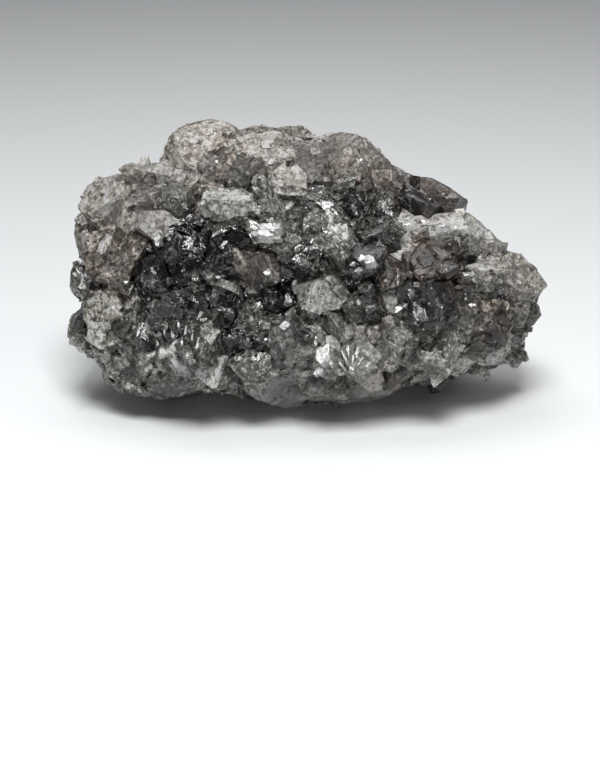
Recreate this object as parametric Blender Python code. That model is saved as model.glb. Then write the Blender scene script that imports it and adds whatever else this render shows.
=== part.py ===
"""A hand specimen of rock salt: one mass of halite crystals that grew into each other.

The whole specimen is one natural piece, so it is one solid. A lofted heart gives the mass its
outline and thickness. Blocky crystals with flat cleavage faces are then sunk into its surface,
each turned its own way, and a Boolean union grows them together. The mass leans back on a
patch of its underside, which is ground off flat where it rests.

Sizes are in millimetres until MM turns them into Blender's metres. Up to that point the
specimen is laid out as seen from the front: u runs right, v runs up and w comes forward.
"""

import math
import random
from typing import NamedTuple

import bmesh
import bpy
from mathutils import Matrix, Vector
from mathutils.bvhtree import BVHTree

MM = 0.001
GROUND_SIZE = 0.3  # metres
NODE_NAME = "halite_crystal_mass"

# Driving dimensions
LEAN_DEG = 20.0  # the show face tips back this far
LIFT = 1.2  # raises the outline's lowest point off the ground before the foot is ground flat
CROWN = Vector((-2.0, 29.0))  # the middle of the outline, which the loft's rings shrink towards
SKIN = 2.8  # how far the heart stays inside the outline, so that crystals make the silhouette
HEART_EVERY = 3  # the heart takes every third point of the outline, because crystals cover it

# The outline of the mass from the front, clockwise from the lower left lobe.
OUTLINE = [
    (-50.8, 13.0), (-50.5, 16.6), (-49.7, 20.6), (-50.2, 24.6), (-49.9, 28.6), (-48.9, 30.6),
    (-49.1, 33.2), (-49.5, 39.4), (-48.2, 42.4), (-46.9, 45.6), (-45.6, 47.8), (-41.8, 48.4),
    (-37.6, 49.2), (-33.2, 50.4), (-30.6, 51.8), (-30.2, 54.6), (-28.8, 57.4), (-25.2, 59.5),
    (-20.6, 60.4), (-17.0, 59.7), (-14.6, 58.2), (-11.6, 59.1), (-6.8, 58.6), (-3.4, 59.0),
    (-0.4, 58.2), (1.8, 56.5), (4.6, 57.9), (9.8, 57.2), (13.0, 55.2), (15.4, 52.8),
    (17.8, 50.0), (21.4, 48.6), (25.6, 48.0), (29.2, 46.1), (32.5, 43.7), (33.7, 40.9),
    (35.8, 39.4), (38.4, 37.5), (39.9, 34.0), (42.0, 32.2), (44.3, 31.8), (47.5, 28.7),
    (50.1, 25.2), (48.3, 22.9), (48.7, 19.6), (46.2, 16.7), (46.4, 13.4), (46.9, 10.2),
    (41.6, 9.4), (33.6, 8.4), (27.5, 6.2), (20.0, 4.8), (16.8, 2.8), (13.0, 1.3),
    (6.4, 1.1), (-0.2, 0.7), (-4.4, -0.2), (-10.6, 1.6), (-18.4, 3.2), (-23.2, 3.6),
    (-27.6, 2.3), (-31.6, 2.5), (-36.6, 3.6), (-40.2, 4.3), (-43.2, 6.9), (-44.9, 10.4),
    (-47.6, 12.0),
]


class Ring(NamedTuple):
    """One cross-section of the heart: how far forward it lies, its share of the outline, its middle."""

    forward: float
    share: float
    middle_v: float


RINGS = [
    Ring(19.5, 0.42, 24.0),
    Ring(17.0, 0.64, 25.0),
    Ring(11.5, 0.83, 27.0),
    Ring(4.5, 0.95, 28.5),
    Ring(-2.0, 1.00, 29.0),
    Ring(-9.0, 0.98, 27.5),
    Ring(-16.0, 0.88, 25.0),
    Ring(-21.0, 0.68, 23.0),
    Ring(-24.0, 0.40, 22.0),
]
FAR_FORWARD = 60.0  # well in front of everything
DISH = 4.5  # the middle of the show face is hollowed back this far
BULGE = 1.5  # and the middle of the back stands out this far

# The mass broke away along its outline. Nothing reaches past these rings, widest at the outline.
BREAKS = [Ring(34.0, 0.90, 27.0), Ring(1.0, 1.0, 29.0), Ring(-38.0, 0.86, 24.0)]


class Feature(NamedTuple):
    """A crystal that has its own place on the show face or the rim."""

    u: float
    v: float
    half_u: float
    half_v: float
    proud: float  # how far its face stands out of the heart
    roll_deg: float  # turn about the outward direction
    tip_deg: float  # tilt of its face, positive to the sky
    rounded: bool


FEATURES = {
    "crown_bulb": Feature(-22.4, 53.6, 8.4, 7.6, 5.4, 20, 0, True),
    "crown_saddle": Feature(-8.4, 51.6, 9.6, 8.0, 4.6, -15, 0, True),
    "crown_shoulder": Feature(9.6, 51.6, 8.6, 7.0, 4.4, 30, 0, True),
    "crown_nose": Feature(7.2, 47.6, 4.4, 4.0, 6.0, 10, -14, True),
    "crown_slope": Feature(17.6, 46.6, 5.1, 4.2, 3.2, -28, 10, False),
    "left_shoulder": Feature(-42.0, 42.6, 5.4, 5.1, 3.6, 25, 12, False),
    "left_plate": Feature(-38.6, 31.4, 5.6, 7.0, 3.2, -24, 6, False),
    "left_foot_plate": Feature(-41.2, 20.6, 4.4, 4.8, 2.6, 12, -4, False),
    "left_lens": Feature(-27.4, 41.4, 4.6, 4.4, 4.0, 0, 8, True),
    "shelf_plate": Feature(-30.4, 46.9, 5.8, 3.2, 3.6, -14, 30, False),
    "eyelid": Feature(-15.8, 40.2, 5.1, 3.2, 4.2, -6, 22, False),
    "dark_knob": Feature(26.0, 43.0, 6.6, 5.1, 5.0, 40, -4, False),
    "flash_plate": Feature(-8.3, 34.9, 3.4, 2.7, 3.6, 6, 26, False),
    "flash_cluster": Feature(10.4, 28.8, 3.6, 3.1, 3.8, 32, 24, False),
    "grey_plate": Feature(2.8, 22.4, 5.4, 3.7, 4.4, 12, 18, False),
    "pit_rim": Feature(-10.4, 28.2, 5.2, 4.4, 3.2, 40, 6, True),
    "bright_block": Feature(3.2, 10.6, 3.1, 4.2, 4.0, -10, 14, False),
    "bright_fan": Feature(9.6, 10.6, 3.4, 4.1, 3.4, 24, 8, False),
    "keel_plate": Feature(-2.2, 3.8, 7.1, 3.7, 3.4, -6, -14, False),
    "keel_step": Feature(11.6, 3.4, 5.8, 3.6, 3.2, 8, -16, False),
    "keel_left": Feature(-26.0, 6.4, 8.6, 5.4, 4.2, 5, -8, True),
    "keel_corner": Feature(-36.8, 8.0, 5.3, 4.9, 3.4, 35, 0, False),
    "stria_block": Feature(-21.9, 15.2, 4.4, 5.6, 2.8, -8, 6, False),
    "right_band": Feature(24.8, 35.8, 6.5, 2.9, 3.0, 4, 18, False),
    "right_grain": Feature(24.6, 28.4, 5.3, 4.4, 3.2, 22, 6, False),
    "right_window": Feature(36.4, 17.2, 6.2, 5.4, 3.4, 40, 0, True),
    "right_wedge": Feature(42.6, 26.4, 6.3, 4.8, 3.8, 38, 4, False),
    "right_bead": Feature(44.6, 19.9, 4.2, 3.6, 4.4, 0, 0, True),
    "right_bead_low": Feature(43.2, 14.4, 3.6, 3.0, 4.0, 0, 0, True),
    "right_fin": Feature(40.4, 10.9, 6.3, 2.0, 3.6, -4, -12, False),
    "keel_right": Feature(25.0, 9.6, 5.4, 2.9, 3.0, 14, -10, False),
    "left_disc": Feature(-46.6, 26.6, 3.6, 4.4, 4.2, 8, 0, True),
    "left_bead": Feature(-47.8, 16.4, 3.6, 3.8, 4.2, 0, 0, True),
}

# The crystals between the features
GRAIN_SPACING = 6.9
FEATURE_CLEARANCE = 0.6  # share of a feature's half width kept clear of other crystals
GRAIN_HALF = (2.8, 5.4)  # half width, smallest and largest
GRAIN_ROOT = 5.0  # how deep a crystal reaches into the heart
GRAIN_PROUD = (0.7, 3.5)
GRAIN_TILT_DEG = 55.0
STEPPED_SHARE = 0.12  # this share of the crystals has a second cleavage step
STEP_RISE = (0.7, 1.5)
STEP_LENGTH = (0.45, 0.7)  # the step's length and width, as shares of its crystal's
STEP_WIDTH = (0.75, 0.97)
STEP_SHIFT = (0.5, 0.9)  # how far the step slides to the crystal's edge
TRIES = 9000  # random places tried when the crystals are spread over the heart
SEED = 41

# The form of one crystal
BROKEN_EDGES = (3, 6)  # how many edges and corners a crystal has lost
BREAK_SKEW = (0.5, 1.0)  # how evenly a break leans over the sides that it meets
BREAK_DEPTH = (0.60, 0.86)  # the share of the reach to the corner that a break leaves
WELD = 0.05  # points of a crystal closer than this are one
FLAT_DEG = 0.5  # faces that meet flatter than this are one face
LUMP_POWER = 2.6  # 2 would make a rounded crystal an egg, and more squares it up
LUMP_JITTER = (0.88, 1.06)
LUMP_DEPTH = 0.7  # a rounded crystal is at least this deep for its width
NEARLY_UPRIGHT = 0.05  # sine of the angle to v under which a direction counts as upright
FEATURE_SKEW_DEG = 26.0  # a named crystal's face may lean this far to any side
FORWARD_PULL = 0.9  # how strongly a named crystal faces front, not straight out of the heart

SALT_COLOUR = (0.50, 0.48, 0.46, 1.0)
SALT_IOR = 1.544
SALT_ROUGHNESS = 0.18
SALT_TRANSMISSION = 0.8


def ring_points(ring: Ring, skin: float, every: int) -> list[Vector]:
    """Every so many points of the outline, drawn in by skin and shrunk about the ring's middle."""
    points = []
    for u, v in OUTLINE[::every]:
        arm = Vector((u, v)) - CROWN
        arm *= (arm.length - skin) / arm.length * ring.share
        points.append(Vector((CROWN.x + arm.x, ring.middle_v + arm.y, ring.forward)))
    return points


def cap(bm: bmesh.types.BMesh, loop: list, offset: float) -> None:
    """Closes a ring with a fan of triangles whose middle is moved along w by offset."""
    middle = sum((vert.co for vert in loop), Vector()) / len(loop)
    hub = bm.verts.new(middle + Vector((0, 0, offset)))
    for first, second in zip(loop, loop[1:] + loop[:1]):
        bm.faces.new((first, second, hub))


def loft(
    name: str, rings: list[Ring], skin: float, every: int, offsets: tuple
) -> bpy.types.Object:
    """A closed body through the rings. Its front and back middles are moved by the offsets."""
    bm = bmesh.new()
    loops = [[bm.verts.new(point) for point in ring_points(ring, skin, every)] for ring in rings]
    for front, back in zip(loops, loops[1:]):
        count = len(front)
        for i in range(count):
            j = (i + 1) % count
            bm.faces.new((front[i], front[j], back[j], back[i]))
    cap(bm, loops[0], offsets[0])
    cap(bm, loops[-1], offsets[1])
    bmesh.ops.triangulate(bm, faces=bm.faces)
    bmesh.ops.recalc_face_normals(bm, faces=bm.faces)
    return make_object(name, bm)


def make_object(name: str, bm: bmesh.types.BMesh) -> bpy.types.Object:
    """Moves a bmesh into a new object and frees it."""
    mesh = bpy.data.meshes.new(name)
    bm.to_mesh(mesh)
    bm.free()
    return bpy.data.objects.new(name, mesh)


def wrap(bm: bmesh.types.BMesh) -> None:
    """Closes a convex shape around its points, with one flat face for each of its sides."""
    points = [vert.co.copy() for vert in bm.verts]
    bm.clear()
    for point in points:
        bm.verts.new(point)
    hull = bmesh.ops.convex_hull(bm, input=bm.verts[:])
    inside = [item for item in hull["geom_interior"] if isinstance(item, bmesh.types.BMVert)]
    bmesh.ops.delete(bm, geom=inside, context="VERTS")
    flat = math.radians(FLAT_DEG)
    bmesh.ops.dissolve_limit(bm, angle_limit=flat, verts=bm.verts, edges=bm.edges)


def cut_off(bm: bmesh.types.BMesh, point: Vector, outward: Vector) -> None:
    """Cleaves away what lies beyond a plane, and closes the cut."""
    geometry = bm.verts[:] + bm.edges[:] + bm.faces[:]
    bmesh.ops.bisect_plane(
        bm, geom=geometry, plane_co=point, plane_no=outward, clear_outer=True, dist=1e-4
    )
    bmesh.ops.remove_doubles(bm, verts=bm.verts, dist=WELD)
    wrap(bm)


def cleaved_block(rng: random.Random, half: Vector) -> bmesh.types.BMesh:
    """A cube of salt, stretched to its half sizes, with a few edges and corners broken off."""
    bm = bmesh.new()
    bmesh.ops.create_cube(bm, size=2.0, matrix=Matrix.Diagonal((*half, 1.0)))
    for _ in range(rng.randint(*BROKEN_EDGES)):
        signs = Vector([rng.choice((-1.0, 0.0, 1.0)), rng.choice((-1.0, 1.0)), rng.uniform(0.1, 1.0)])
        towards = Vector([sign * rng.uniform(*BREAK_SKEW) for sign in signs]).normalized()
        reach = sum(abs(towards[i]) * half[i] for i in range(3))
        cut_off(bm, towards * reach * rng.uniform(*BREAK_DEPTH), towards)
    return bm


def rounded_lump(rng: random.Random, half: Vector) -> bmesh.types.BMesh:
    """A crystal whose corners have dissolved away: a many-sided pebble with flat facets."""
    bm = bmesh.new()
    bmesh.ops.create_icosphere(bm, subdivisions=2, radius=1.0)
    for vert in bm.verts:
        swell = sum(abs(c) ** LUMP_POWER for c in vert.co) ** (-1 / LUMP_POWER)
        vert.co *= swell * rng.uniform(*LUMP_JITTER)
        vert.co = Vector([vert.co[i] * half[i] for i in range(3)])
    wrap(bm)
    return bm


def outward_frame(normal: Vector) -> Matrix:
    """A turn that brings +Z to the outward direction, with +Y as near to v as it goes."""
    right = Vector((0, 1, 0)).cross(normal)
    right = right.normalized() if right.length > NEARLY_UPRIGHT else Vector((1, 0, 0))
    up = normal.cross(right).normalized()
    return Matrix((right, up, normal)).transposed()


def plant(
    crystals: bpy.types.Collection, bm: bmesh.types.BMesh, name: str, foot: Vector, turn: Matrix
) -> None:
    """Turns a crystal, moves it to its foot and files it with the crystals to be joined."""
    bmesh.ops.transform(bm, matrix=Matrix.Translation(foot) @ turn.to_4x4(), verts=bm.verts)
    bmesh.ops.recalc_face_normals(bm, faces=bm.faces)
    crystal = make_object(name, bm)
    crystal.hide_render = True
    crystal.display_type = "WIRE"
    crystals.objects.link(crystal)


def plant_feature(
    crystals: bpy.types.Collection, tree: BVHTree, rng: random.Random, name: str, spec: Feature
) -> Vector:
    """Sets one named crystal where a line from the front meets the heart. Returns that place."""
    before = Vector((spec.u, spec.v, FAR_FORWARD))
    place, normal, *_ = tree.ray_cast(before, Vector((0, 0, -1)))
    if place is None:
        place, normal, *_ = tree.find_nearest(Vector((spec.u, spec.v, 0.0)))
    facing = (normal + Vector((0, 0, FORWARD_PULL))).normalized()
    frame = outward_frame(facing)
    turn = frame @ Matrix.Rotation(math.radians(spec.roll_deg), 3, "Z")
    tip = Matrix.Rotation(math.radians(-spec.tip_deg), 3, frame.col[0])
    if not spec.rounded:
        sideways = frame @ Vector((rng.uniform(-1.0, 1.0), rng.uniform(-1.0, 1.0), 0.0))
        tip = Matrix.Rotation(math.radians(FEATURE_SKEW_DEG) * sideways.length, 3, sideways) @ tip
    half = Vector((spec.half_u, spec.half_v, (spec.proud + GRAIN_ROOT) / 2))
    if spec.rounded:
        half.z = max(half.z, LUMP_DEPTH * min(spec.half_u, spec.half_v))
        bm = rounded_lump(rng, half)
    else:
        bm = cleaved_block(rng, half)
    plant(crystals, bm, name, place + facing * (spec.proud - half.z), tip @ turn)
    return place


def plant_grain(
    crystals: bpy.types.Collection, rng: random.Random, name: str, place: Vector, normal: Vector
) -> None:
    """Sets one blocky crystal on the heart, tilted a little, and perhaps with a second step."""
    proud = rng.uniform(*GRAIN_PROUD)
    half = Vector((rng.uniform(*GRAIN_HALF), rng.uniform(*GRAIN_HALF), (proud + GRAIN_ROOT) / 2))
    spin = Matrix.Rotation(rng.uniform(0, math.tau), 3, "Z")
    lean = Matrix.Rotation(math.radians(rng.uniform(0, GRAIN_TILT_DEG)), 3, "X")
    turn = outward_frame(normal) @ spin @ lean @ Matrix.Rotation(rng.uniform(0, math.tau), 3, "Z")
    foot = place + normal * (proud - half.z)
    plant(crystals, cleaved_block(rng, half), name, foot, turn)
    if rng.random() < STEPPED_SHARE:
        rise = rng.uniform(*STEP_RISE)
        share = rng.uniform(*STEP_LENGTH)
        step = Vector((half.x * share, half.y * rng.uniform(*STEP_WIDTH), half.z))
        shift = turn @ Vector((half.x * (1 - share) * rng.uniform(*STEP_SHIFT), 0.0, rise))
        plant(crystals, cleaved_block(rng, step), name + "_step", foot + shift, turn)


def scatter(tree: BVHTree, heart: bpy.types.Object, rng: random.Random, taken: list) -> list:
    """Places on the heart, at least GRAIN_SPACING apart and clear of the features."""
    mesh = heart.data
    mesh.calc_loop_triangles()
    corners = [[mesh.vertices[i].co for i in tri.vertices] for tri in mesh.loop_triangles]
    areas = [tri.area for tri in mesh.loop_triangles]
    places = []
    for _ in range(TRIES):
        a, b, c = rng.choices(corners, areas)[0]
        s, t = math.sqrt(rng.random()), rng.random()
        place = a * (1 - s) + b * (s * (1 - t)) + c * (s * t)
        if any((place - other).length < gap for other, gap in taken):
            continue
        taken.append((place, GRAIN_SPACING))
        places.append((place, tree.find_nearest(place)[1]))
    return places


def grow_crystals(heart: bpy.types.Object) -> bpy.types.Collection:
    """Every crystal that the heart carries, in one collection that doesn't render."""
    rng = random.Random(SEED)
    crystals = bpy.data.collections.new("crystals")
    bpy.context.scene.collection.children.link(crystals)
    heart_mesh = bmesh.new()
    heart_mesh.from_mesh(heart.data)
    tree = BVHTree.FromBMesh(heart_mesh)
    heart_mesh.free()
    taken = []
    for name, spec in FEATURES.items():
        place = plant_feature(crystals, tree, rng, name, spec)
        reach = (spec.half_u + spec.half_v) / 2 * FEATURE_CLEARANCE + GRAIN_SPACING / 2
        taken.append((place, reach))
    for number, (place, normal) in enumerate(scatter(tree, heart, rng, taken)):
        plant_grain(crystals, rng, f"grain_{number:03d}", place, normal)
    return crystals


def lean_back() -> Matrix:
    """From the front layout in millimetres to Blender's metres, tipped back and lifted."""
    lean = math.radians(LEAN_DEG)
    right = Vector((1, 0, 0))
    up = Vector((0, math.sin(lean), math.cos(lean)))
    forward = Vector((0, -math.cos(lean), math.sin(lean)))
    turn = Matrix((right, up, forward)).transposed().to_4x4()
    return Matrix.Scale(MM, 4) @ Matrix.Translation((0, 0, LIFT)) @ turn


def ground_block() -> bpy.types.Object:
    """What is ground off the underside: everything below z = 0."""
    bm = bmesh.new()
    below = Matrix.Translation((0, 0, -GROUND_SIZE / 2))
    bmesh.ops.create_cube(bm, size=GROUND_SIZE, matrix=below)
    return make_object("ground", bm)


def as_cutter(obj: bpy.types.Object) -> bpy.types.Object:
    """Links an object that only shapes the mass and isn't part of it."""
    obj.hide_render = True
    obj.display_type = "WIRE"
    bpy.context.scene.collection.objects.link(obj)
    return obj


def salt_material() -> bpy.types.Material:
    """Smoky, see-through rock salt."""
    material = bpy.data.materials.new("smoky_halite")
    material.use_nodes = True
    shader = material.node_tree.nodes["Principled BSDF"]
    shader.inputs["Base Color"].default_value = SALT_COLOUR
    shader.inputs["Roughness"].default_value = SALT_ROUGHNESS
    shader.inputs["IOR"].default_value = SALT_IOR
    shader.inputs["Transmission Weight"].default_value = SALT_TRANSMISSION
    return material


def add_boolean(mass: bpy.types.Object, operation: str, other) -> None:
    """One Boolean step with an object or a whole collection."""
    step = mass.modifiers.new(operation.lower(), "BOOLEAN")
    step.operation = operation
    if isinstance(other, bpy.types.Collection):
        step.operand_type = "COLLECTION"
        step.collection = other
    else:
        step.object = other


def skins(bm: bmesh.types.BMesh) -> list[list]:
    """The faces of each closed surface in the mesh: its outside, and any pocket sealed in it."""
    left = set(bm.faces)
    found = []
    while left:
        todo = [left.pop()]
        skin = []
        while todo:
            face = todo.pop()
            skin.append(face)
            for edge in face.edges:
                beyond = [other for other in edge.link_faces if other in left]
                left.difference_update(beyond)
                todo += beyond
        found.append(skin)
    return found


def fill_pockets(bm: bmesh.types.BMesh) -> None:
    """Removes every surface but the largest, so that gaps sealed between crystals turn solid."""
    outside, *pockets = sorted(skins(bm), key=len, reverse=True)
    for pocket in pockets:
        bmesh.ops.delete(bm, geom=pocket, context="FACES")


def finish_solid(mass: bpy.types.Object) -> None:
    """Keeps the joined shape as the mesh, with its origin under the middle of its box."""
    evaluated = mass.evaluated_get(bpy.context.evaluated_depsgraph_get())
    bm = bmesh.new()
    bm.from_mesh(evaluated.to_mesh())
    mass.modifiers.clear()
    fill_pockets(bm)
    low = Vector([min(vert.co[i] for vert in bm.verts) for i in range(3)])
    high = Vector([max(vert.co[i] for vert in bm.verts) for i in range(3)])
    middle = Vector(((low.x + high.x) / 2, (low.y + high.y) / 2, low.z))
    bmesh.ops.translate(bm, verts=bm.verts, vec=-middle)
    bm.to_mesh(mass.data)
    bm.free()


def main() -> None:
    for obj in list(bpy.data.objects):
        bpy.data.objects.remove(obj)
    mass = loft(NODE_NAME, RINGS, SKIN, HEART_EVERY, (-DISH, -BULGE))
    bpy.context.scene.collection.objects.link(mass)
    crystals = grow_crystals(mass)
    breaks = as_cutter(loft("breaks", BREAKS, 0.0, 1, (0.0, 0.0)))
    placing = lean_back()
    for obj in [mass, breaks, *crystals.objects]:
        obj.data.transform(placing)
    add_boolean(mass, "UNION", crystals)
    add_boolean(mass, "INTERSECT", breaks)
    add_boolean(mass, "DIFFERENCE", as_cutter(ground_block()))
    finish_solid(mass)
    mass.data.materials.clear()
    mass.data.materials.append(salt_material())


main()
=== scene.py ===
"""The looks of a hand specimen of rock salt: one mass of clear to smoky halite crystals.

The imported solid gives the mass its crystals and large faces. This script keeps every one of
those faces and works over them as salt breaks: small crystals and cleavage plates left
standing, square steps sunk into the faces, and chips off the edges, each lined up with the
lattice of the crystal that it is on. Everything is joined in one closed mesh, because clear
salt is rendered with refraction and absorption, which need one clean surface.

Places on the show face are given as seen from the front, in millimetres: u runs right, v runs
up the leaning face and w comes forward, from the same origin as the solid's own layout.
"""

import logging
import math
import random
from collections.abc import Callable
from dataclasses import dataclass, field
from enum import Enum

import bmesh
import bpy
import numpy as np
from mathutils import Matrix, Vector
from mathutils.bvhtree import BVHTree


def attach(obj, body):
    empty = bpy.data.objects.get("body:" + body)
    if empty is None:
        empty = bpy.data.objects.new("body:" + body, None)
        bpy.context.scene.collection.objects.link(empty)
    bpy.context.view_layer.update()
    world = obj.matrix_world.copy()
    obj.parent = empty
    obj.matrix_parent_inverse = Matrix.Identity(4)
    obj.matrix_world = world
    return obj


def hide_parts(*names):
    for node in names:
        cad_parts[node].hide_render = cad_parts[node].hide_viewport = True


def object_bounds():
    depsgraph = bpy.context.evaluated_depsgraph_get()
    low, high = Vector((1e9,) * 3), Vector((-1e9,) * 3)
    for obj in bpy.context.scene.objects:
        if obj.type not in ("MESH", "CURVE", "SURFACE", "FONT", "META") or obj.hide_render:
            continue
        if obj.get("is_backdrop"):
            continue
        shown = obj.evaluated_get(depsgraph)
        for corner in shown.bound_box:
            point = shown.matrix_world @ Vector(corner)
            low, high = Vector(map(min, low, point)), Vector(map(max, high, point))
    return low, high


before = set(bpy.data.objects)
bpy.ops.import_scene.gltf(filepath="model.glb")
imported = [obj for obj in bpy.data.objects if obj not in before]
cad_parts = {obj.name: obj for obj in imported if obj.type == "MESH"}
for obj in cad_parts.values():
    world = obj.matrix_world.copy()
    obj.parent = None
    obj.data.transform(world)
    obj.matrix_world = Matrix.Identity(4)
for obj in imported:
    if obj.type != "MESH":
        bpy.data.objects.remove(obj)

LOG = logging.getLogger("rock_salt")
MM = 0.001
NODE = "halite_crystal_mass"
BODY = "root"

LEAN = math.radians(20.0)  # the show face tips back this far
LAYOUT_ORIGIN = Vector((0.55, -9.64, 1.2))  # where u, v and w are 0, in the frame, in mm
RIGHT = Vector((1.0, 0.0, 0.0))
UP = Vector((0.0, math.sin(LEAN), math.cos(LEAN)))
FORWARD = Vector((0.0, -math.cos(LEAN), math.sin(LEAN)))
TINY = 1e-9  # keeps the weight of a face without area above 0


def linear(hex_colour: str) -> tuple[float, float, float, float]:
    """Turns an sRGB hex colour into linear RGBA.

    Args:
        hex_colour: six hex digits with a leading hash.

    Returns:
        The linear colour with alpha 1.
    """
    channels = [int(hex_colour[i : i + 2], 16) / 255 for i in (1, 3, 5)]
    turned = [c / 12.92 if c <= 0.04045 else ((c + 0.055) / 1.055) ** 2.4 for c in channels]
    return (*turned, 1.0)


def to_layout(points: np.ndarray) -> np.ndarray:
    """Gives points of the frame, in mm, as (u, v, w) of the front layout."""
    return (points - np.array(LAYOUT_ORIGIN)) @ np.array([RIGHT, UP, FORWARD]).T


def from_layout(u: float, v: float, w: float) -> Vector:
    """Gives a place of the front layout as a point of the frame, in mm."""
    return LAYOUT_ORIGIN + RIGHT * u + UP * v + FORWARD * w


def smooth_step(low: float, high: float, values: np.ndarray) -> np.ndarray:
    """A soft ramp from 0 at low to 1 at high."""
    t = np.clip((values - low) / (high - low), 0.0, 1.0)
    return t * t * (3.0 - 2.0 * t)


def within_one(value: float) -> float:
    """Keeps a share between 0 and 1."""
    return min(1.0, max(0.0, value))


# --------------------------------------------------------------------------------------------
# Where the salt is dark, pale, stained or worn
# --------------------------------------------------------------------------------------------


class Tint(Enum):
    """What an area of the salt differs in."""

    DARK = "dark"
    PALE = "pale"
    RUST = "rust"


AREA_EDGE = (0.75, 1.2)  # an area fades out between these shares of its half sizes


@dataclass(frozen=True)
class Area:
    """A soft-edged oval on the show face, in layout millimetres."""

    u: float
    v: float
    half_u: float
    half_v: float
    strength: float = 1.0
    roll_deg: float = 0.0

    def share(self, layout: np.ndarray) -> np.ndarray:
        """How much of the area's strength each place takes.

        Args:
            layout: places as rows of (u, v, w).

        Returns:
            One value for each place, from 0 to the area's strength.
        """
        roll = math.radians(self.roll_deg)
        du, dv = layout[:, 0] - self.u, layout[:, 1] - self.v
        along = (du * math.cos(roll) + dv * math.sin(roll)) / self.half_u
        across = (dv * math.cos(roll) - du * math.sin(roll)) / self.half_v
        reach = np.sqrt(along**2 + across**2)
        return self.strength * (1.0 - smooth_step(*AREA_EDGE, reach))


# The ovals of each tint: u, v, half_u, half_v, strength and, where it isn't 0, roll_deg.
OVALS = {
    Tint.DARK: (
        # The heart: smoky crystals, darkest to the left and in three pools.
        (-6, 28, 36, 16, 0.65),
        (-22, 27, 17, 12, 0.95),
        (-24.8, 34.3, 10.5, 4.8, 1, -6),
        (-26.5, 26.5, 9, 3.8, 0.85),
        (-19, 21, 8.5, 4.6, 1, -5),
        (-13.8, 13.8, 5, 3.2, 1),
        (-8, 20.5, 6, 3, 0.9),
        (-25.5, 14.8, 5.6, 4.2, 0.9),
        (-3, 31, 6.5, 3.8, 0.9),
        (2, 36.5, 6, 3, 0.75),
        (-3, 23.5, 6.5, 3.8, 1),
        (0.5, 42.5, 7, 5, 0.9),
        (-20, 45, 6, 2.6, 0.55),
        (-13.7, 43.3, 2.8, 1.9, 1),
        (12, 46.2, 3.8, 2.6, 1),
        (11, 39.5, 7.5, 4.5, 0.75),
        (6.5, 31.8, 5, 2.4, 0.95),
        (13, 31, 5, 6.5, 0.85),
        (11.5, 19.4, 5, 4.8, 0.85),
        # The right: a smoky knob, dark pits and brown crystals.
        (25.4, 43.6, 10.5, 6.4, 0.8),
        (35.5, 37, 4, 4, 0.25),
        (30, 30.5, 3.4, 1.9, 0.8),
        (28.5, 23, 4.8, 3.6, 0.45),
        (22.5, 15.5, 7.5, 5, 0.15),
        (38.1, 16.5, 4.2, 3.6, 0.7),
        (43.5, 22.5, 4, 1.3, 0.9),
        # The left: a dark disc, a smoky block, and painted shade in a gap.
        (-47.5, 27.5, 2.8, 3.4, 0.8),
        (-40, 28.5, 7, 8, 0.52),
        # painted shade in the gap
        (-33.5, 11, 3.4, 1.9, 0.9),
    ),
    Tint.PALE: (
        # The crown and its ledges: pale and granular.
        (-22, 53.5, 10.5, 8.5, 0.44),
        (-13.2, 49.6, 5, 4.5, 1),
        (-7.5, 53, 11, 8.5, 0.7),
        (11, 53, 11, 7.5, 1),
        (15, 51, 5, 4.5, 1),
        (16.5, 48, 3.6, 3.2, 0.6),
        (-28.5, 48, 5, 3, 0.9),
        (-38.5, 43.5, 11, 8, 0.95),
        # Pale crystals in the face.
        (-17.3, 40.3, 4.6, 2.8, 0.6),
        (-4, 41, 5, 3, 0.35),
        (5.1, 36.8, 2.6, 2.2, 0.6),
        (24.5, 36.8, 8.6, 2.2, 0.65, 3),
        (23.5, 31, 6.5, 4.5, 0.3),
        (34.8, 30.5, 2.2, 2.6, 0.9),
        (-10.5, 28.2, 4.6, 3.2, 0.8),
        (-18.4, 26.2, 2.4, 1.7, 0.8),
        (2.8, 22.3, 5.2, 3.1, 0.95),
        (-5, 16.1, 3, 2.3, 0.85),
        (17.9, 20, 2.4, 1.7, 0.8),
        (33.5, 18, 2.2, 4.6, 0.9),
        (44.5, 27.5, 6.5, 5.5, 0.8),
        (36.5, 34, 5, 4, 0.6),
        (43, 19.5, 4, 3, 0.45),
        (45.5, 15.5, 4, 4, 0.6),
        (41.5, 10.8, 6, 2.6, 0.55),
        # The keel.
        (6, 10, 11, 7, 1),
        (15, 11, 5, 5, 0.8),
        (-2, 3.9, 10, 3.8, 0.95),
        (10, 3, 9, 3.4, 1),
        (26, 8, 8, 2.2, 0.7, 8),
        (-22, 11, 6, 5, 0.25),
        (-27, 6, 6, 4, 0.35),
        (-36, 8, 8, 4, 0.35),
    ),
    # Iron stains: a faint warm one over the crown and the left, and stronger ones in places.
    Tint.RUST: (
        (-21, 54, 13, 9, 0.55),
        (-4, 54, 12, 9, 0.4),
        (11, 52, 10, 8, 0.35),
        (-39, 36, 12, 14, 0.4),
        (40, 24, 12, 12, 0.25),
        (-40, 30, 7, 9, 0.6),
        (-40, 21, 4, 4, 0.4),
        (-18.5, 52.5, 5, 6, 0.7),
        (-20, 45, 6, 2.6, 0.6),
        (-11, 29, 5, 4, 0.6),
        (6.8, 47.6, 3.2, 2.9, 0.6),
        (12, 46.2, 3.8, 2.6, 0.7),
        (25.4, 44, 10, 6, 1),
        (23.5, 29.6, 9, 5.2, 0.85),
        (28.5, 23, 5, 4, 0.9),
        (12, 18.5, 4.8, 5.4, 0.4),
        (38.1, 16.5, 4.2, 3.6, 0.9),
        (14.5, 7.5, 2.5, 3, 0.7),
        (44.5, 27.5, 6, 5, 0.35),
    ),
}
AREAS = {tint: [Area(*oval) for oval in ovals] for tint, ovals in OVALS.items()}

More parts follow.
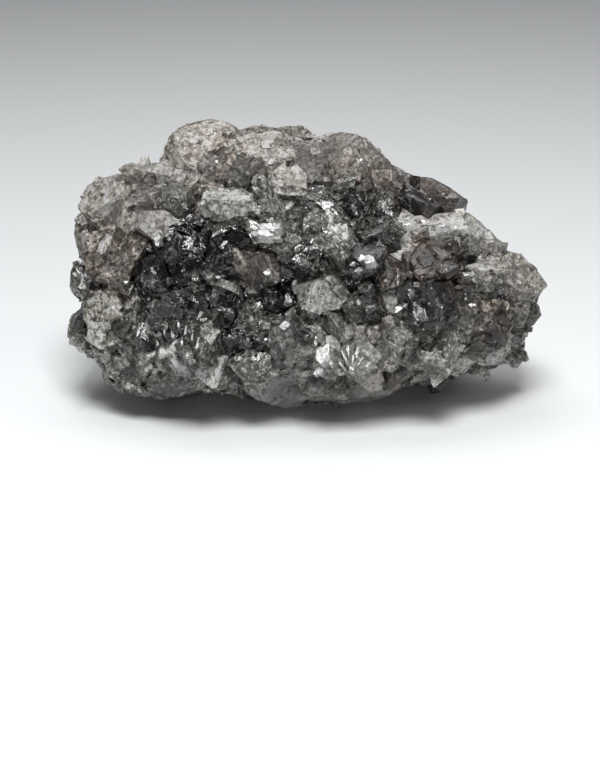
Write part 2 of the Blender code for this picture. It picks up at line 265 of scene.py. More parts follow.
# Where the crystals are large and worn round, with few small ones on them.
SMOOTH = (
    Area(-22, 54, 11, 9, 0.5),
    Area(-7, 54, 12, 9, 0.5),
    Area(9.5, 53.5, 10.5, 8, 0.5),
    Area(-39.5, 38, 10.5, 13, 0.5),
    Area(-27.4, 41.4, 5, 4.6, 0.5),
    Area(-16, 40.2, 5.5, 3.4, 0.6),
    Area(27, 43.5, 9.5, 7.5, 1),
    Area(44, 26.5, 7, 5, 0.6),
    Area(2.8, 22.4, 5.4, 3.4, 0.6),
    Area(-47, 26.6, 3.6, 4.4, 0.7),
    Area(-4, 2.8, 40, 3.6, 0.5),
)

# Waves that make the areas' edges ragged: the axis that they shift (u or v), by how many mm,
# and how fast they run along u and along v, in radians for each mm.
WAVES = ((0, 1.0, 0.7, 1.1), (0, 0.7, -1.4, 2.3), (1, 1.0, 1.3, -0.5), (1, 0.7, 2.1, 1.7))

FRONT_FADE = (-22.0, -9.0)  # the areas fade out towards the back between these w
CORE_MIDDLE = (0.0, 29.0)  # at the back, the salt is darkest around this u and v
CORE_HALF = (48.0, 28.0)
CORE_EDGE = (0.35, 0.85)
CORE_DARK = 0.8
HOME_SHARE = 0.6  # of a face's tints that come from the middle of its crystal


def smoothness(point: Vector) -> float:
    """How worn the crystals are at a place in mm, from 0 to 1."""
    layout = to_layout(np.array([point]))
    return float(max(area.share(layout)[0] for area in SMOOTH))


def wander(layout: np.ndarray) -> np.ndarray:
    """Shifts places about by a millimetre or two, so that the areas' edges are ragged.

    Args:
        layout: places as rows of (u, v, w).

    Returns:
        The shifted places.
    """
    moved = layout.copy()
    for axis, size, u_rate, v_rate in WAVES:
        moved[:, axis] += size * np.sin(u_rate * layout[:, 0] + v_rate * layout[:, 1])
    return moved


def tints_at(points: np.ndarray) -> dict[Tint, np.ndarray]:
    """Works out each tint at each place: from the areas in front, and by depth at the back.

    Args:
        points: places in the frame, in mm, as rows.

    Returns:
        One array for each tint, from 0 to 1.
    """
    layout = wander(to_layout(points))
    front = smooth_step(*FRONT_FADE, layout[:, 2])
    found = {}
    for tint, areas in AREAS.items():
        found[tint] = np.max([area.share(layout) for area in areas], axis=0) * front
    off_middle = (layout[:, :2] - CORE_MIDDLE) / CORE_HALF
    core = 1.0 - smooth_step(*CORE_EDGE, np.hypot(off_middle[:, 0], off_middle[:, 1]))
    found[Tint.DARK] = np.maximum(found[Tint.DARK], core * (1.0 - front) * CORE_DARK)
    return found


# --------------------------------------------------------------------------------------------
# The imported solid, read as crystals
# --------------------------------------------------------------------------------------------


def flood(mesh: bmesh.types.BMesh, joins: Callable[[bmesh.types.BMEdge], bool]) -> list[list[int]]:
    """Groups a mesh's faces that are joined by edges which pass a test.

    Args:
        mesh: the mesh, with its face numbers up to date.
        joins: says whether the faces at an edge belong together.

    Returns:
        The face numbers of each group.
    """
    seen = [False] * len(mesh.faces)
    groups = []
    for start in mesh.faces:
        if seen[start.index]:
            continue
        seen[start.index] = True
        todo, group = [start], []
        while todo:
            face = todo.pop()
            group.append(face.index)
            for edge in filter(joins, face.edges):
                for other in edge.link_faces:
                    if not seen[other.index]:
                        seen[other.index] = True
                        todo.append(other)
        groups.append(group)
    return groups


@dataclass
class Face:
    """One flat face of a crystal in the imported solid."""

    triangles: list[int]
    centre: Vector
    normal: Vector
    along: Vector  # the direction of its longest edge, which is the way it cleaves
    area: float
    crystal: int = -1

    def axes(self) -> Matrix:
        """The lattice on this face: columns along, across and outward."""
        return Matrix((self.along, self.normal.cross(self.along), self.normal)).transposed()


@dataclass
class PackedCrystals:
    """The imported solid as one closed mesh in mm, its flat faces and the crystals they belong to.

    Attributes:
        same_face_deg: triangles that meet flatter than this are one face.
        concave_deg: crystals part where faces meet this much inwards.
        spread: a crystal wider than this, in mm, is several that run into each other.
        same_point: corners closer than this, in metres, are one.
    """

    same_face_deg: float = 1.0
    concave_deg: float = 1.5
    spread: float = 9.0
    same_point: float = 1e-7
    mesh: bmesh.types.BMesh = field(init=False)
    faces: list[Face] = field(init=False)

    def __post_init__(self) -> None:
        """Reads the node and sorts its triangles into faces and crystals."""
        self.mesh = bmesh.new()
        self.mesh.from_mesh(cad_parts[NODE].data)
        bmesh.ops.remove_doubles(self.mesh, verts=self.mesh.verts, dist=self.same_point)
        bmesh.ops.scale(self.mesh, verts=self.mesh.verts, vec=(1 / MM,) * 3)
        self.mesh.faces.ensure_lookup_table()
        flat = math.radians(self.same_face_deg)
        groups = flood(self.mesh, lambda edge: abs(edge.calc_face_angle_signed()) < flat)
        self.faces = [self.read_face(group) for group in groups]
        self.sort_into_crystals()

    def read_face(self, group: list[int]) -> Face:
        """Measures one flat face.

        Args:
            group: the numbers of its triangles.

        Returns:
            The face, not yet given to a crystal.
        """
        inside = set(group)
        triangles = [self.mesh.faces[i] for i in group]
        weights = [max(triangle.calc_area(), TINY) for triangle in triangles]
        weighted = list(zip(triangles, weights))
        centre = sum((t.calc_center_median() * a for t, a in weighted), Vector()) / sum(weights)
        normal = sum((t.normal * a for t, a in weighted), Vector()).normalized()
        edges = [edge for triangle in triangles for edge in triangle.edges]
        border = [edge for edge in edges if any(f.index not in inside for f in edge.link_faces)]
        longest = max(border or triangles[0].edges, key=lambda edge: edge.calc_length())
        along = longest.verts[1].co - longest.verts[0].co
        along -= normal * along.dot(normal)
        if along.length < TINY:
            along = normal.orthogonal()
        area = sum(triangle.calc_area() for triangle in triangles)
        return Face(group, centre, normal, along.normalized(), area)

    def face_of(self) -> dict[int, int]:
        """The number of the flat face that each triangle is in."""
        return {i: number for number, face in enumerate(self.faces) for i in face.triangles}

    def sort_into_crystals(self) -> None:
        """Numbers the crystals. Faces that meet outwards belong to one, if it isn't too wide."""
        turn = -math.radians(self.concave_deg)
        face_of = self.face_of()
        count = 0
        for group in flood(self.mesh, lambda edge: edge.calc_face_angle_signed() > turn):
            members = sorted({face_of[i] for i in group}, key=lambda n: -self.faces[n].area)
            seeds: list[Vector] = []
            for face in (self.faces[number] for number in members):
                near = [i for i, seed in enumerate(seeds) if (seed - face.centre).length < self.spread]
                if not near:
                    seeds.append(face.centre)
                    near = [len(seeds) - 1]
                nearest = min(near, key=lambda i: (seeds[i] - face.centre).length)
                if face.crystal < 0:
                    face.crystal = count + nearest
            count += len(seeds)


# --------------------------------------------------------------------------------------------
# Small shapes that salt breaks into
# --------------------------------------------------------------------------------------------


@dataclass
class Shard:
    """A small shape made of rings of corners, placed on the mass."""

    points: np.ndarray
    sides: int
    tone: float
    home: Vector  # the place whose tints it takes
    along: Vector
    outward: Vector
    centre: np.ndarray = field(init=False)
    radius: float = field(init=False)

    def __post_init__(self) -> None:
        """Measures the ball that it fits in."""
        self.centre = self.points.mean(axis=0)
        self.radius = float(np.linalg.norm(self.points - self.centre, axis=1).max())


@dataclass
class ShardCutter:
    """Cuts small shapes of salt: an irregular outline with a few corners, narrower at the top.

    Attributes:
        taper: how wide a prism's top is, as a share of its foot.
        jitter: how far a square's corners may be off, as a share.
        slip: how far a round outline's corners may be off, as a share of their spacing.
        reach: how far a round outline's corners are out.
        shift: how far a prism's top may be off centre, as a share of its half size.
        nugget_shift: the same for a nugget.
        nugget_jitter: the shares by which a nugget's corners are off.
        shoulder: the share of a nugget's height at which it narrows.
        shoulder_width: how wide it is there.
        top_width: how wide it is at the top.
    """

    rng: random.Random
    taper: tuple[float, float] = (0.6, 0.95)
    jitter: float = 0.34
    slip: float = 0.25
    reach: float = 1.1
    shift: float = 0.1
    nugget_shift: float = 0.22
    nugget_jitter: tuple[float, float] = (0.93, 1.05)
    shoulder: tuple[float, float] = (0.3, 0.7)
    shoulder_width: tuple[float, float] = (0.88, 1.04)
    top_width: tuple[float, float] = (0.5, 0.78)

    def outline(self, sides: int) -> list[tuple[float, float]]:
        """A convex outline on a unit square or a unit circle.

        Args:
            sides: how many corners it has.

        Returns:
            The corners, anticlockwise.
        """
        if sides == 4:
            corners = [(-1, -1), (1, -1), (1, 1), (-1, 1)]
            return [tuple(c * (1 - self.rng.uniform(0, self.jitter)) for c in xy) for xy in corners]
        start = self.rng.uniform(0, math.tau)
        slips = [self.rng.uniform(-self.slip, self.slip) for _ in range(sides)]
        turns = [start + math.tau * (i + slip) / sides for i, slip in enumerate(slips)]
        return [(math.cos(turn) * self.reach, math.sin(turn) * self.reach) for turn in turns]

    def prism(self, half: tuple[float, float], low: float, high: float, sides: int) -> np.ndarray:
        """A plain prism that narrows upwards.

        Args:
            half: half length and half width.
            low: height of the lower face.
            high: height of the upper face.
            sides: corners in the outline.

        Returns:
            Rows of x, y and z, in two rings from the bottom up, each anticlockwise from above.
        """
        outline = self.outline(sides)
        taper = self.rng.uniform(*self.taper)
        shift = [self.rng.uniform(-self.shift, self.shift) * size for size in half]
        rings = ((1.0, 0.0, low), (taper, 1.0, high))
        return np.array(
            [
                (x * half[0] * share + shift[0] * moved, y * half[1] * share + shift[1] * moved, height)
                for share, moved, height in rings
                for x, y in outline
            ]
        )

    def nugget(self, half: tuple[float, float], low: float, high: float, sides: int) -> np.ndarray:
        """A worn crystal: an uneven outline with a shoulder under a smaller, shifted top.

        Args:
            half: half length and half width.
            low: height of the lowest face.
            high: height of the top.
            sides: corners in the outline.

        Returns:
            Rows of x, y and z, in three rings from the bottom up.
        """
        outline = self.outline(sides)
        shoulder = high * self.rng.uniform(*self.shoulder)
        shift = [self.rng.uniform(-self.nugget_shift, self.nugget_shift) for _ in half]
        widths = (1.0, self.rng.uniform(*self.shoulder_width), self.rng.uniform(*self.top_width))
        points = []
        for share, moved, height in zip(widths, (0.0, 0.3, 1.0), (low, shoulder, high)):
            for corner in outline:
                x, y = (
                    (place * share * self.rng.uniform(*self.nugget_jitter) + off * moved) * size
                    for place, off, size in zip(corner, shift, half)
                )
                points.append((x, y, height))
        return np.array(points)


def ring_faces(first: int, count: int, sides: int) -> list[list[int]]:
    """The faces of a shape that is made of rings of corners.

    Args:
        first: the number of its first corner.
        count: how many corners it has.
        sides: how many of them make a ring.

    Returns:
        Corner numbers for each face: the bottom, the top and the sides.
    """
    rings = [[first + start + i for i in range(sides)] for start in range(0, count, sides)]
    faces = [rings[0][::-1], rings[-1]]
    for lower, upper in zip(rings, rings[1:]):
        for i in range(sides):
            j = (i + 1) % sides
            faces.append([lower[i], lower[j], upper[j], upper[i]])
    return faces


@dataclass
class ShardSet:
    """Shapes of which none touches another, so that they make one mesh.

    Attributes:
        room: the most shapes that it may get.
        shards: the shapes in it.
    """

    room: int
    shards: list[Shard] = field(default_factory=list)

    def __post_init__(self) -> None:
        """Makes room for the balls around the shapes."""
        self.centres = np.zeros((self.room, 3))
        self.radii = np.zeros(self.room)

    def takes(self, shard: Shard) -> bool:
        """Adds a shape, unless it touches one that is in the set.

        Args:
            shard: the shape.

        Returns:
            True if it was added.
        """
        n = len(self.shards)
        gaps = np.linalg.norm(self.centres[:n] - shard.centre, axis=1) - self.radii[:n]
        if n and gaps.min() <= shard.radius:
            return False
        self.centres[n], self.radii[n] = shard.centre, shard.radius
        self.shards.append(shard)
        return True


def rings_mesh(name: str, shapes: list[tuple[np.ndarray, int]]) -> tuple[bpy.types.Mesh, list[int]]:
    """Makes one mesh of shapes that are made of rings of corners.

    Args:
        name: the mesh's name.
        shapes: each shape's corners, ring by ring from the bottom up, and how many make a ring.

    Returns:
        The mesh, and the number of the shape that each of its faces belongs to.
    """
    corners, faces, owners = [], [], []
    for number, (points, sides) in enumerate(shapes):
        made = ring_faces(len(corners), len(points), sides)
        corners += points.tolist()
        faces += made
        owners += [number] * len(made)
    mesh = bpy.data.meshes.new(name)
    mesh.from_pydata(corners, [], faces)
    return mesh, owners


def write_on_faces(mesh: bpy.types.Mesh, name: str, values: np.ndarray) -> None:
    """Stores a number or a vector on each face.

    Args:
        mesh: the mesh.
        name: the name of what is stored.
        values: a number, or a row of three, for each face.
    """
    kind, part = ("FLOAT", "value") if values.ndim == 1 else ("FLOAT_VECTOR", "vector")
    layer = mesh.attributes.new(name, kind, "FACE")
    layer.data.foreach_set(part, np.ascontiguousarray(values, np.float32).ravel())


def put_in_scene(name: str, data: bpy.types.ID) -> bpy.types.Object:
    """Puts a mesh, a camera or a light in the scene as an object."""
    thing = bpy.data.objects.new(name, data)
    bpy.context.scene.collection.objects.link(thing)
    return thing


# --------------------------------------------------------------------------------------------
# The broken surface
# --------------------------------------------------------------------------------------------


@dataclass(frozen=True)
class Growth:
    """A kind of small crystal that is joined on to the faces.

    Sizes are in mm.

    Attributes:
        per_area: how many there are for each square mm of face.
        half: the limits of its half length and half width.
        rise: the limits of its height.
        sides: how many corners its outline may have.
        steepest_deg: it is tilted by no more than this.
        left_out: the share that is left out where smoothness is 1.
        rise_by_width: True if rise is a share of the smaller half size.
        turned: True if it is turned its own way, and not lined up with the face's lattice.
        shouldered: True if it has a shoulder, and isn't a plain prism.
        roots: how deep it goes, as a multiple of the surface's root.
        worn_down: how much lower and flatter it lies where smoothness is 1, as a share.
        lift: none of its corners is tilted out further than this.
        drift: how far its tone may be from its crystal's.
        own_tint: True if it takes the tints of its own place, and not its crystal's.
    """

    per_area: float
    half: tuple[float, float]
    rise: tuple[float, float]
    sides: tuple[int, ...]
    steepest_deg: float
    left_out: float = 0.9
    rise_by_width: bool = False
    turned: bool = False
    shouldered: bool = False
    roots: float = 1.0
    worn_down: float = 0.0
    lift: float = math.inf
    drift: float = 0.22
    own_tint: bool = False

    def steepest(self, half: tuple[float, float]) -> float:
        """How far one with these half sizes may be tilted, in degrees."""
        return min(self.steepest_deg, math.degrees(math.asin(min(1.0, self.lift / max(half)))))


GROWTHS = (
    # Nuggets: worn crystals of three to seven mm, each grown on its own way.
    Growth(
        0.028, (1.4, 3.8), (0.25, 1.1), (4, 5, 5, 6), 90.0, left_out=1.8, turned=True,
        shouldered=True, roots=1.6, worn_down=0.6, lift=1.1, drift=0.45, own_tint=True,
    ),
    # Flat cleavage plates left standing.
    Growth(0.075, (0.6, 1.8), (0.03, 0.26), (4, 5, 5, 6, 7), 15.0),
    # Grains that stick out askew.
    Growth(0.02, (0.5, 1.3), (0.2, 0.6), (4, 5, 5, 6), 35.0, rise_by_width=True, turned=True),
)


@dataclass
class SharpEdge:
    """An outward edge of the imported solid: its ends, the way it points and its larger face."""

    face: Face
    start: Vector
    end: Vector
    outward: Vector

    def length(self) -> float:
        """How long it is, in mm."""
        return (self.end - self.start).length

    def axes(self) -> Matrix:
        """Columns along the edge, across it and outward."""
        along = (self.end - self.start).normalized()
        return Matrix((along, self.outward.cross(along), self.outward)).transposed()


@dataclass
class BrokenSurface:
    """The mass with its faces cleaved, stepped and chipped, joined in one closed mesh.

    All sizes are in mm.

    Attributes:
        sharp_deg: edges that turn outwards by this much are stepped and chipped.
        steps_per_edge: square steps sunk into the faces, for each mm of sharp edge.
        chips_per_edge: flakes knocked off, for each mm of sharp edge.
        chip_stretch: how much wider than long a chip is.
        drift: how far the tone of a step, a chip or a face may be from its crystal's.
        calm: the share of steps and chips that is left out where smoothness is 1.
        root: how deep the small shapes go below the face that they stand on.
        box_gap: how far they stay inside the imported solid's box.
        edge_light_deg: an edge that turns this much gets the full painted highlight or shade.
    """

    packed: PackedCrystals
    seed: int = 11
    sharp_deg: float = 20.0
    steps_per_edge: float = 0.05
    chips_per_edge: float = 0.18
    step_half: tuple[float, float] = (0.8, 2.2)
    step_depth: tuple[float, float] = (0.12, 0.5)
    step_tilt_deg: float = 3.0
    chip_half: tuple[float, float] = (0.5, 1.4)
    chip_depth: tuple[float, float] = (0.08, 0.4)
    chip_stretch: float = 1.4
    chip_tilt_deg: float = 28.0
    chip_sides: tuple[int, ...] = (4, 5, 6)
    drift: float = 0.22
    face_drift: float = 0.2
    calm: float = 0.9
    root: float = 0.8
    box_gap: float = 0.02
    edge_light_deg: float = 45.0
    rng: random.Random = field(init=False)
    cutter: ShardCutter = field(init=False)
    crystal_tone: dict[int, float] = field(init=False)
    crystal_home: dict[int, Vector] = field(init=False)

    def __post_init__(self) -> None:
        """Seeds the draws and gives each crystal its own tone and middle."""
        self.rng = random.Random(self.seed)
        self.cutter = ShardCutter(self.rng)
        crystals = sorted({face.crystal for face in self.packed.faces})
        self.crystal_tone = {number: self.rng.random() for number in crystals}
        self.crystal_home = {}
        for number in crystals:
            own = [face for face in self.packed.faces if face.crystal == number]
            whole = sum(face.area for face in own)
            self.crystal_home[number] = sum((face.centre * face.area for face in own), Vector()) / whole

    def between(self, limits: tuple[float, float]) -> float:
        """A size between the limits, with small ones as common as large ones by ratio."""
        low, high = limits
        return low * (high / low) ** self.rng.random()

    def count_for(self, amount: float) -> int:
        """A whole number of shapes whose average is the amount."""
        return int(amount) + (self.rng.random() < amount - int(amount))

    def is_left_out(self, spot: Vector, share: float) -> bool:
        """True for the share of shapes that is left out on worn crystals."""
        return self.rng.random() < share * smoothness(spot)

    def spot_on(self, face: Face) -> Vector:
        """A random place on a flat face."""
        triangles = [self.packed.mesh.faces[i] for i in face.triangles]
        triangle = self.rng.choices(triangles, [max(t.calc_area(), TINY) for t in triangles])[0]
        a, b, c = [vert.co for vert in triangle.verts]
        s, t = math.sqrt(self.rng.random()), self.rng.random()
        return a * (1 - s) + b * (s * (1 - t)) + c * (s * t)

    def tilt(self, axes: Matrix, degrees: float) -> Matrix:
        """Turns axes by up to that many degrees about a random direction in their plane."""
        turn = self.rng.uniform(0, math.tau)
        pivot = Vector((math.cos(turn), math.sin(turn), 0.0))
        return axes @ Matrix.Rotation(math.radians(self.rng.uniform(0, degrees)), 3, pivot)

    def place(
        self, face: Face, spot: Vector, axes: Matrix, shape: np.ndarray, sides: int,
        kind: Growth | None = None,
    ) -> Shard:
        """Moves a shape to its spot on a face.

        Args:
            face: the face.
            spot: its place there.
            axes: its own directions, as columns.
            shape: its corners around its spot.
            sides: how many of them make a ring.
            kind: what it is, if it is joined on.

        Returns:
            The placed shape.
        """
        drift = kind.drift if kind else self.drift
        home = spot.copy() if kind and kind.own_tint else self.crystal_home[face.crystal]
        tone = within_one(self.crystal_tone[face.crystal] + self.rng.uniform(-drift, drift))
        points = shape @ np.array(axes).T + np.array(spot)
        return Shard(points, sides, tone, home, axes.col[0].copy(), axes.col[2].copy())

    def grow(self, kind: Growth) -> list[Shard]:
        """Strews small crystals of one kind over the faces.

        Args:
            kind: what they are.

        Returns:
            The placed crystals.
        """
        made = []
        for face in self.packed.faces:
            for _ in range(self.count_for(face.area * kind.per_area)):
                spot = self.spot_on(face)
                fresh = 1 - kind.worn_down * smoothness(spot)
                half = (self.between(kind.half), self.between(kind.half))
                rise = self.rng.uniform(*kind.rise) * (min(half) if kind.rise_by_width else 1.0) * fresh
                sides = self.rng.choice(kind.sides)
                cut = self.cutter.nugget if kind.shouldered else self.cutter.prism
                shape = cut(half, -self.root * kind.roots, rise, sides)
                axes = face.axes()
                if kind.turned:
                    axes = axes @ Matrix.Rotation(self.rng.uniform(0, math.tau), 3, "Z")
                axes = self.tilt(axes, kind.steepest(half) * fresh)
                if not self.is_left_out(spot, kind.left_out):
                    made.append(self.place(face, spot, axes, shape, sides, kind))
        return made

    def sharp_edges(self) -> list[SharpEdge]:
        """Finds the edges that are stepped and chipped."""
        face_of = self.packed.face_of()
        found = []
        for edge in self.packed.mesh.edges:
            if edge.calc_face_angle_signed() < math.radians(self.sharp_deg):
                continue
            outward = sum((face.normal for face in edge.link_faces), Vector()).normalized()
            faces = [self.packed.faces[face_of[face.index]] for face in edge.link_faces]
            a, b = edge.verts
            found.append(SharpEdge(max(faces, key=lambda face: face.area), a.co, b.co, outward))
        return found

    def steps(self) -> list[Shard]:
        """Square steps sunk into the faces at their edges."""
        made = []
        for edge in self.sharp_edges():
            for _ in range(self.count_for(edge.length() * self.steps_per_edge)):
                spot = edge.start.lerp(edge.end, self.rng.random())
                depth = self.rng.uniform(*self.step_depth)
                half = (self.between(self.step_half), self.between(self.step_half))
                shape = self.cutter.prism(half, -depth, self.root + depth, 4)
                axes = self.tilt(edge.face.axes(), self.step_tilt_deg)
                if not self.is_left_out(spot, self.calm):
                    made.append(self.place(edge.face, spot, axes, shape, 4))
        return made

    def chips(self) -> list[Shard]:
        """Flakes knocked off the edges at odd angles."""
        made = []
        for edge in self.sharp_edges():
            for _ in range(self.count_for(edge.length() * self.chips_per_edge)):
                spot = edge.start.lerp(edge.end, self.rng.random())
                half = (self.between(self.chip_half), self.between(self.chip_half) * self.chip_stretch)
                depth = self.rng.uniform(*self.chip_depth)
                sides = self.rng.choice(self.chip_sides)
                shape = self.cutter.prism(half, -depth, self.root * 2, sides)
                if not self.is_left_out(spot, self.calm):
                    axes = self.tilt(edge.axes(), self.chip_tilt_deg)
                    made.append(self.place(edge.face, spot, axes, shape, sides))
        return made

    def inside_box(self, shards: list[Shard]) -> list[Shard]:
        """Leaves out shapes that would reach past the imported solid's box."""
        points = np.array([vert.co for vert in self.packed.mesh.verts])
        low, high = points.min(axis=0) + self.box_gap, points.max(axis=0) - self.box_gap
        return [s for s in shards if (s.points > low).all() and (s.points < high).all()]

    def disjoint(self, shards: list[Shard]) -> list[list[Shard]]:
        """Sorts shapes into sets in which none touches another, so that each set is one mesh."""
        sets: list[ShardSet] = []
        for shard in shards:
            if not any(group.takes(shard) for group in sets):
                sets.append(ShardSet(len(shards)))
                sets[-1].takes(shard)
        return [group.shards for group in sets]

    def helper(self, name: str, shards: list[Shard]) -> bpy.types.Object:
        """One object that holds a set of shapes, with each one's tone and lattice on its faces.

        Args:
            name: the object's name.
            shards: the shapes.

        Returns:
            The object, in the scene.
        """
        mesh, owners = rings_mesh(name, [(shard.points, shard.sides) for shard in shards])
        for part in ("tone", "along", "outward", "home"):
            write_on_faces(mesh, part, np.array([getattr(shard, part) for shard in shards])[owners])
        return put_in_scene(name, mesh)

    def heart(self) -> bpy.types.Object:
        """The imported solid's own mesh, with each face's tone and lattice."""
        faces = self.packed.faces
        drifts = [self.rng.uniform(-self.face_drift, self.face_drift) for _ in faces]
        tones = [within_one(self.crystal_tone[f.crystal] + drift) for f, drift in zip(faces, drifts)]
        values = {
            "tone": tones,
            "along": [face.along for face in faces],
            "outward": [face.normal for face in faces],
            "home": [self.crystal_home[face.crystal] for face in faces],
        }
        mesh = bpy.data.meshes.new(NODE + "_skin")
        self.packed.mesh.to_mesh(mesh)
        for name in [layer.name for layer in mesh.attributes if not layer.is_required]:
            mesh.attributes.remove(mesh.attributes[name])
        face_of = self.packed.face_of()
        owners = [face_of[i] for i in range(len(face_of))]
        for name, per_face in values.items():
            write_on_faces(mesh, name, np.array(per_face)[owners])
        return put_in_scene("rock_salt_mass", mesh)

    def build(self) -> bpy.types.Object:
        """Takes the steps and chips away, then joins the other shapes to the mass.

        Returns:
            The mass, in metres, with its modifiers applied.
        """
        mass = self.heart()
        added = self.inside_box([shard for kind in GROWTHS for shard in self.grow(kind)])
        taken = self.steps() + self.chips()
        LOG.info("%d shapes to join, %d to take away", len(added), len(taken))
        helpers = []
        for operation, shards in (("DIFFERENCE", taken), ("UNION", added)):
            for number, group in enumerate(self.disjoint(shards)):
                helpers.append(self.helper(f"{operation.lower()}_{number}", group))
                step = mass.modifiers.new(helpers[-1].name, "BOOLEAN")
                step.operation = operation
                step.object = helpers[-1]
                step.solver = "MANIFOLD"
        evaluated = mass.evaluated_get(bpy.context.evaluated_depsgraph_get())
        mesh = bpy.data.meshes.new_from_object(evaluated)
        mass.modifiers.clear()
        keep_largest(mesh)
        mesh.shade_flat()
        write_tints(mesh)
        write_painted_edge_light(mesh, math.radians(self.edge_light_deg))
        mesh.transform(Matrix.Scale(MM, 4))
        mass.data = mesh
        for helper in helpers:
            bpy.data.objects.remove(helper)
        return mass


def keep_largest(mesh: bpy.types.Mesh) -> None:
    """Drops crumbs that the cuts parted from the mass."""
    bm = bmesh.new()
    bm.from_mesh(mesh)
    bm.faces.ensure_lookup_table()
    skins = sorted(flood(bm, lambda edge: True), key=len)
    crumbs = [bm.faces[i] for skin in skins[:-1] for i in skin]
    bmesh.ops.delete(bm, geom=crumbs, context="FACES")
    bm.to_mesh(mesh)
    bm.free()


def write_tints(mesh: bpy.types.Mesh) -> None:
    """Stores how dark, pale and rusty each face is: mostly its crystal's own, partly its place's."""
    count = len(mesh.polygons)
    centres, homes = np.zeros(count * 3, np.float32), np.zeros(count * 3, np.float32)
    mesh.polygons.foreach_get("center", centres)
    mesh.attributes["home"].data.foreach_get("vector", homes)
    here, there = (tints_at(places.reshape(-1, 3).astype(float)) for places in (centres, homes))
    mixed = [here[tint] * (1 - HOME_SHARE) + there[tint] * HOME_SHARE for tint in Tint]
    write_on_faces(mesh, "tints", np.stack(mixed, axis=1))


def write_painted_edge_light(mesh: bpy.types.Mesh, full: float) -> None:
    """Stores how sharply the surface turns at each corner: out is positive, in is negative.

    The colour takes it as painted light: a painted highlight on outward edges, painted shade in creases.

    Args:
        mesh: the mesh.
        full: the average turn of a corner's edges that counts as 1, in radians.
    """
    bm = bmesh.new()
    bm.from_mesh(mesh)
    turns = [[edge.calc_face_angle_signed(0.0) for edge in vert.link_edges] for vert in bm.verts]
    bm.free()
    values = np.array([sum(own) / max(1, len(own)) for own in turns])
    # painted light: lightens the colour on outward edges and shades it in creases
    layer = mesh.attributes.new("painted_edge_light", "FLOAT", "POINT")
    layer.data.foreach_set("value", np.clip(values / full, -1, 1).astype(np.float32))


# --------------------------------------------------------------------------------------------
# Cleavages that flash
# --------------------------------------------------------------------------------------------


@dataclass(frozen=True)
class Flash:
    """One bright cleavage on the show face, in layout mm and degrees."""

    u: float
    v: float
    half_long: float
    half_short: float
    roll_deg: float = 0.0
    sides: int = 6

    def looseness(self) -> float:
        """How freely its pieces are turned: 1 if it is as wide as it is long."""
        return min(self.half_long, self.half_short) / max(self.half_long, self.half_short)


# Each flash: u, v, half_long, half_short, roll_deg and sides.
FLASHES = tuple(
    Flash(*row)
    for row in (
        # The one large plate in the heart.
        (-8.6, 34.9, 3.0, 1.9, -8, 7),
        (-6.6, 35.9, 1.2, 0.9, 20, 5),
        # A white grain at the heart's left end.
        (-30.6, 34.2, 1.0, 1.4, 12, 5),
        (-30.0, 35.6, 0.6, 0.5, 0, 4),
        # A cluster right of the middle.
        (11.9, 29.3, 1.6, 1.3, 15, 6),
        (10.3, 29.9, 0.9, 1.0, 50, 5),
        (8.2, 28.7, 0.8, 0.5, 20, 5),
        (9.6, 27.8, 1.3, 0.7, 5, 6),
        (12.4, 27.5, 0.8, 0.5, -30, 4),
        # Streaks in the ribbed crystal.
        (-22.0, 18.6, 0.42, 1.5, -14, 4),
        (-22.4, 12.8, 0.45, 1.4, -10, 4),
        (-27.6, 14.8, 0.35, 1.2, 8, 4),
        (-24.8, 15.6, 0.3, 1.3, -6, 4),
        (-25.5, 13.0, 0.3, 0.9, 4, 4),
        (-29.2, 15.6, 0.3, 1.3, 6, 4),
        (-26.3, 17.0, 0.3, 1.1, 2, 4),
        (-23.5, 14.2, 0.34, 1.3, -12, 4),
        (-20.7, 13.6, 0.3, 1.1, -16, 4),
        (-30.8, 13.4, 0.3, 1.0, 10, 4),
        # The bright block low in the middle, and the fan beside it.
        (2.4, 10.6, 1.8, 2.6, -10, 6),
        (1.9, 7.6, 1.1, 1.1, 10, 5),
        (3.9, 9.4, 0.6, 1.5, 25, 5),
        (1.2, 13.2, 0.5, 1.3, -8, 5),
        (6.0, 9.0, 0.32, 1.8, 42, 4),
        (6.6, 10.8, 0.3, 2.0, 24, 4),
        (7.6, 11.6, 0.34, 2.1, 10, 4),
        (8.6, 10.0, 0.3, 1.8, -4, 4),
        (9.5, 11.6, 0.34, 2.0, -18, 4),
        (10.6, 10.2, 0.3, 1.8, -32, 4),
        (11.6, 9.0, 0.28, 1.5, -46, 4),
        (8.2, 8.0, 0.5, 0.7, 0, 5),
        # Grains in the band under the knob and at its right end.
        (19.6, 37.2, 1.0, 0.5, -10, 5),
        (23.2, 37.6, 1.3, 0.6, 5, 6),
        (26.7, 37.0, 1.4, 0.5, 12, 5),
        (29.4, 36.4, 0.9, 0.5, -25, 5),
        (34.7, 31.2, 0.7, 1.2, 25, 5),
        (32.6, 20.9, 0.9, 0.7, 0, 5),
        (17.9, 20.0, 1.1, 0.7, 20, 5),
        # Grains in the crown.
        (-7.8, 50.0, 1.2, 0.9, 10, 6),
        (-10.8, 43.8, 0.8, 0.6, 0, 5),
        (9.8, 49.8, 0.9, 0.6, 30, 5),
        # Grains around the middle.
        (-8.4, 27.1, 1.2, 0.8, 15, 6),
        (-18.4, 26.4, 0.9, 0.6, -20, 5),
        (-5.0, 16.8, 1.6, 0.9, 12, 6),
        (-2.2, 34.2, 0.5, 1.3, 20, 4),
        (0.4, 33.6, 0.4, 1.2, -30, 4),
        (5.0, 35.9, 0.9, 0.6, 0, 5),
        (-37.2, 25.6, 0.6, 0.5, 0, 5),
    )
)


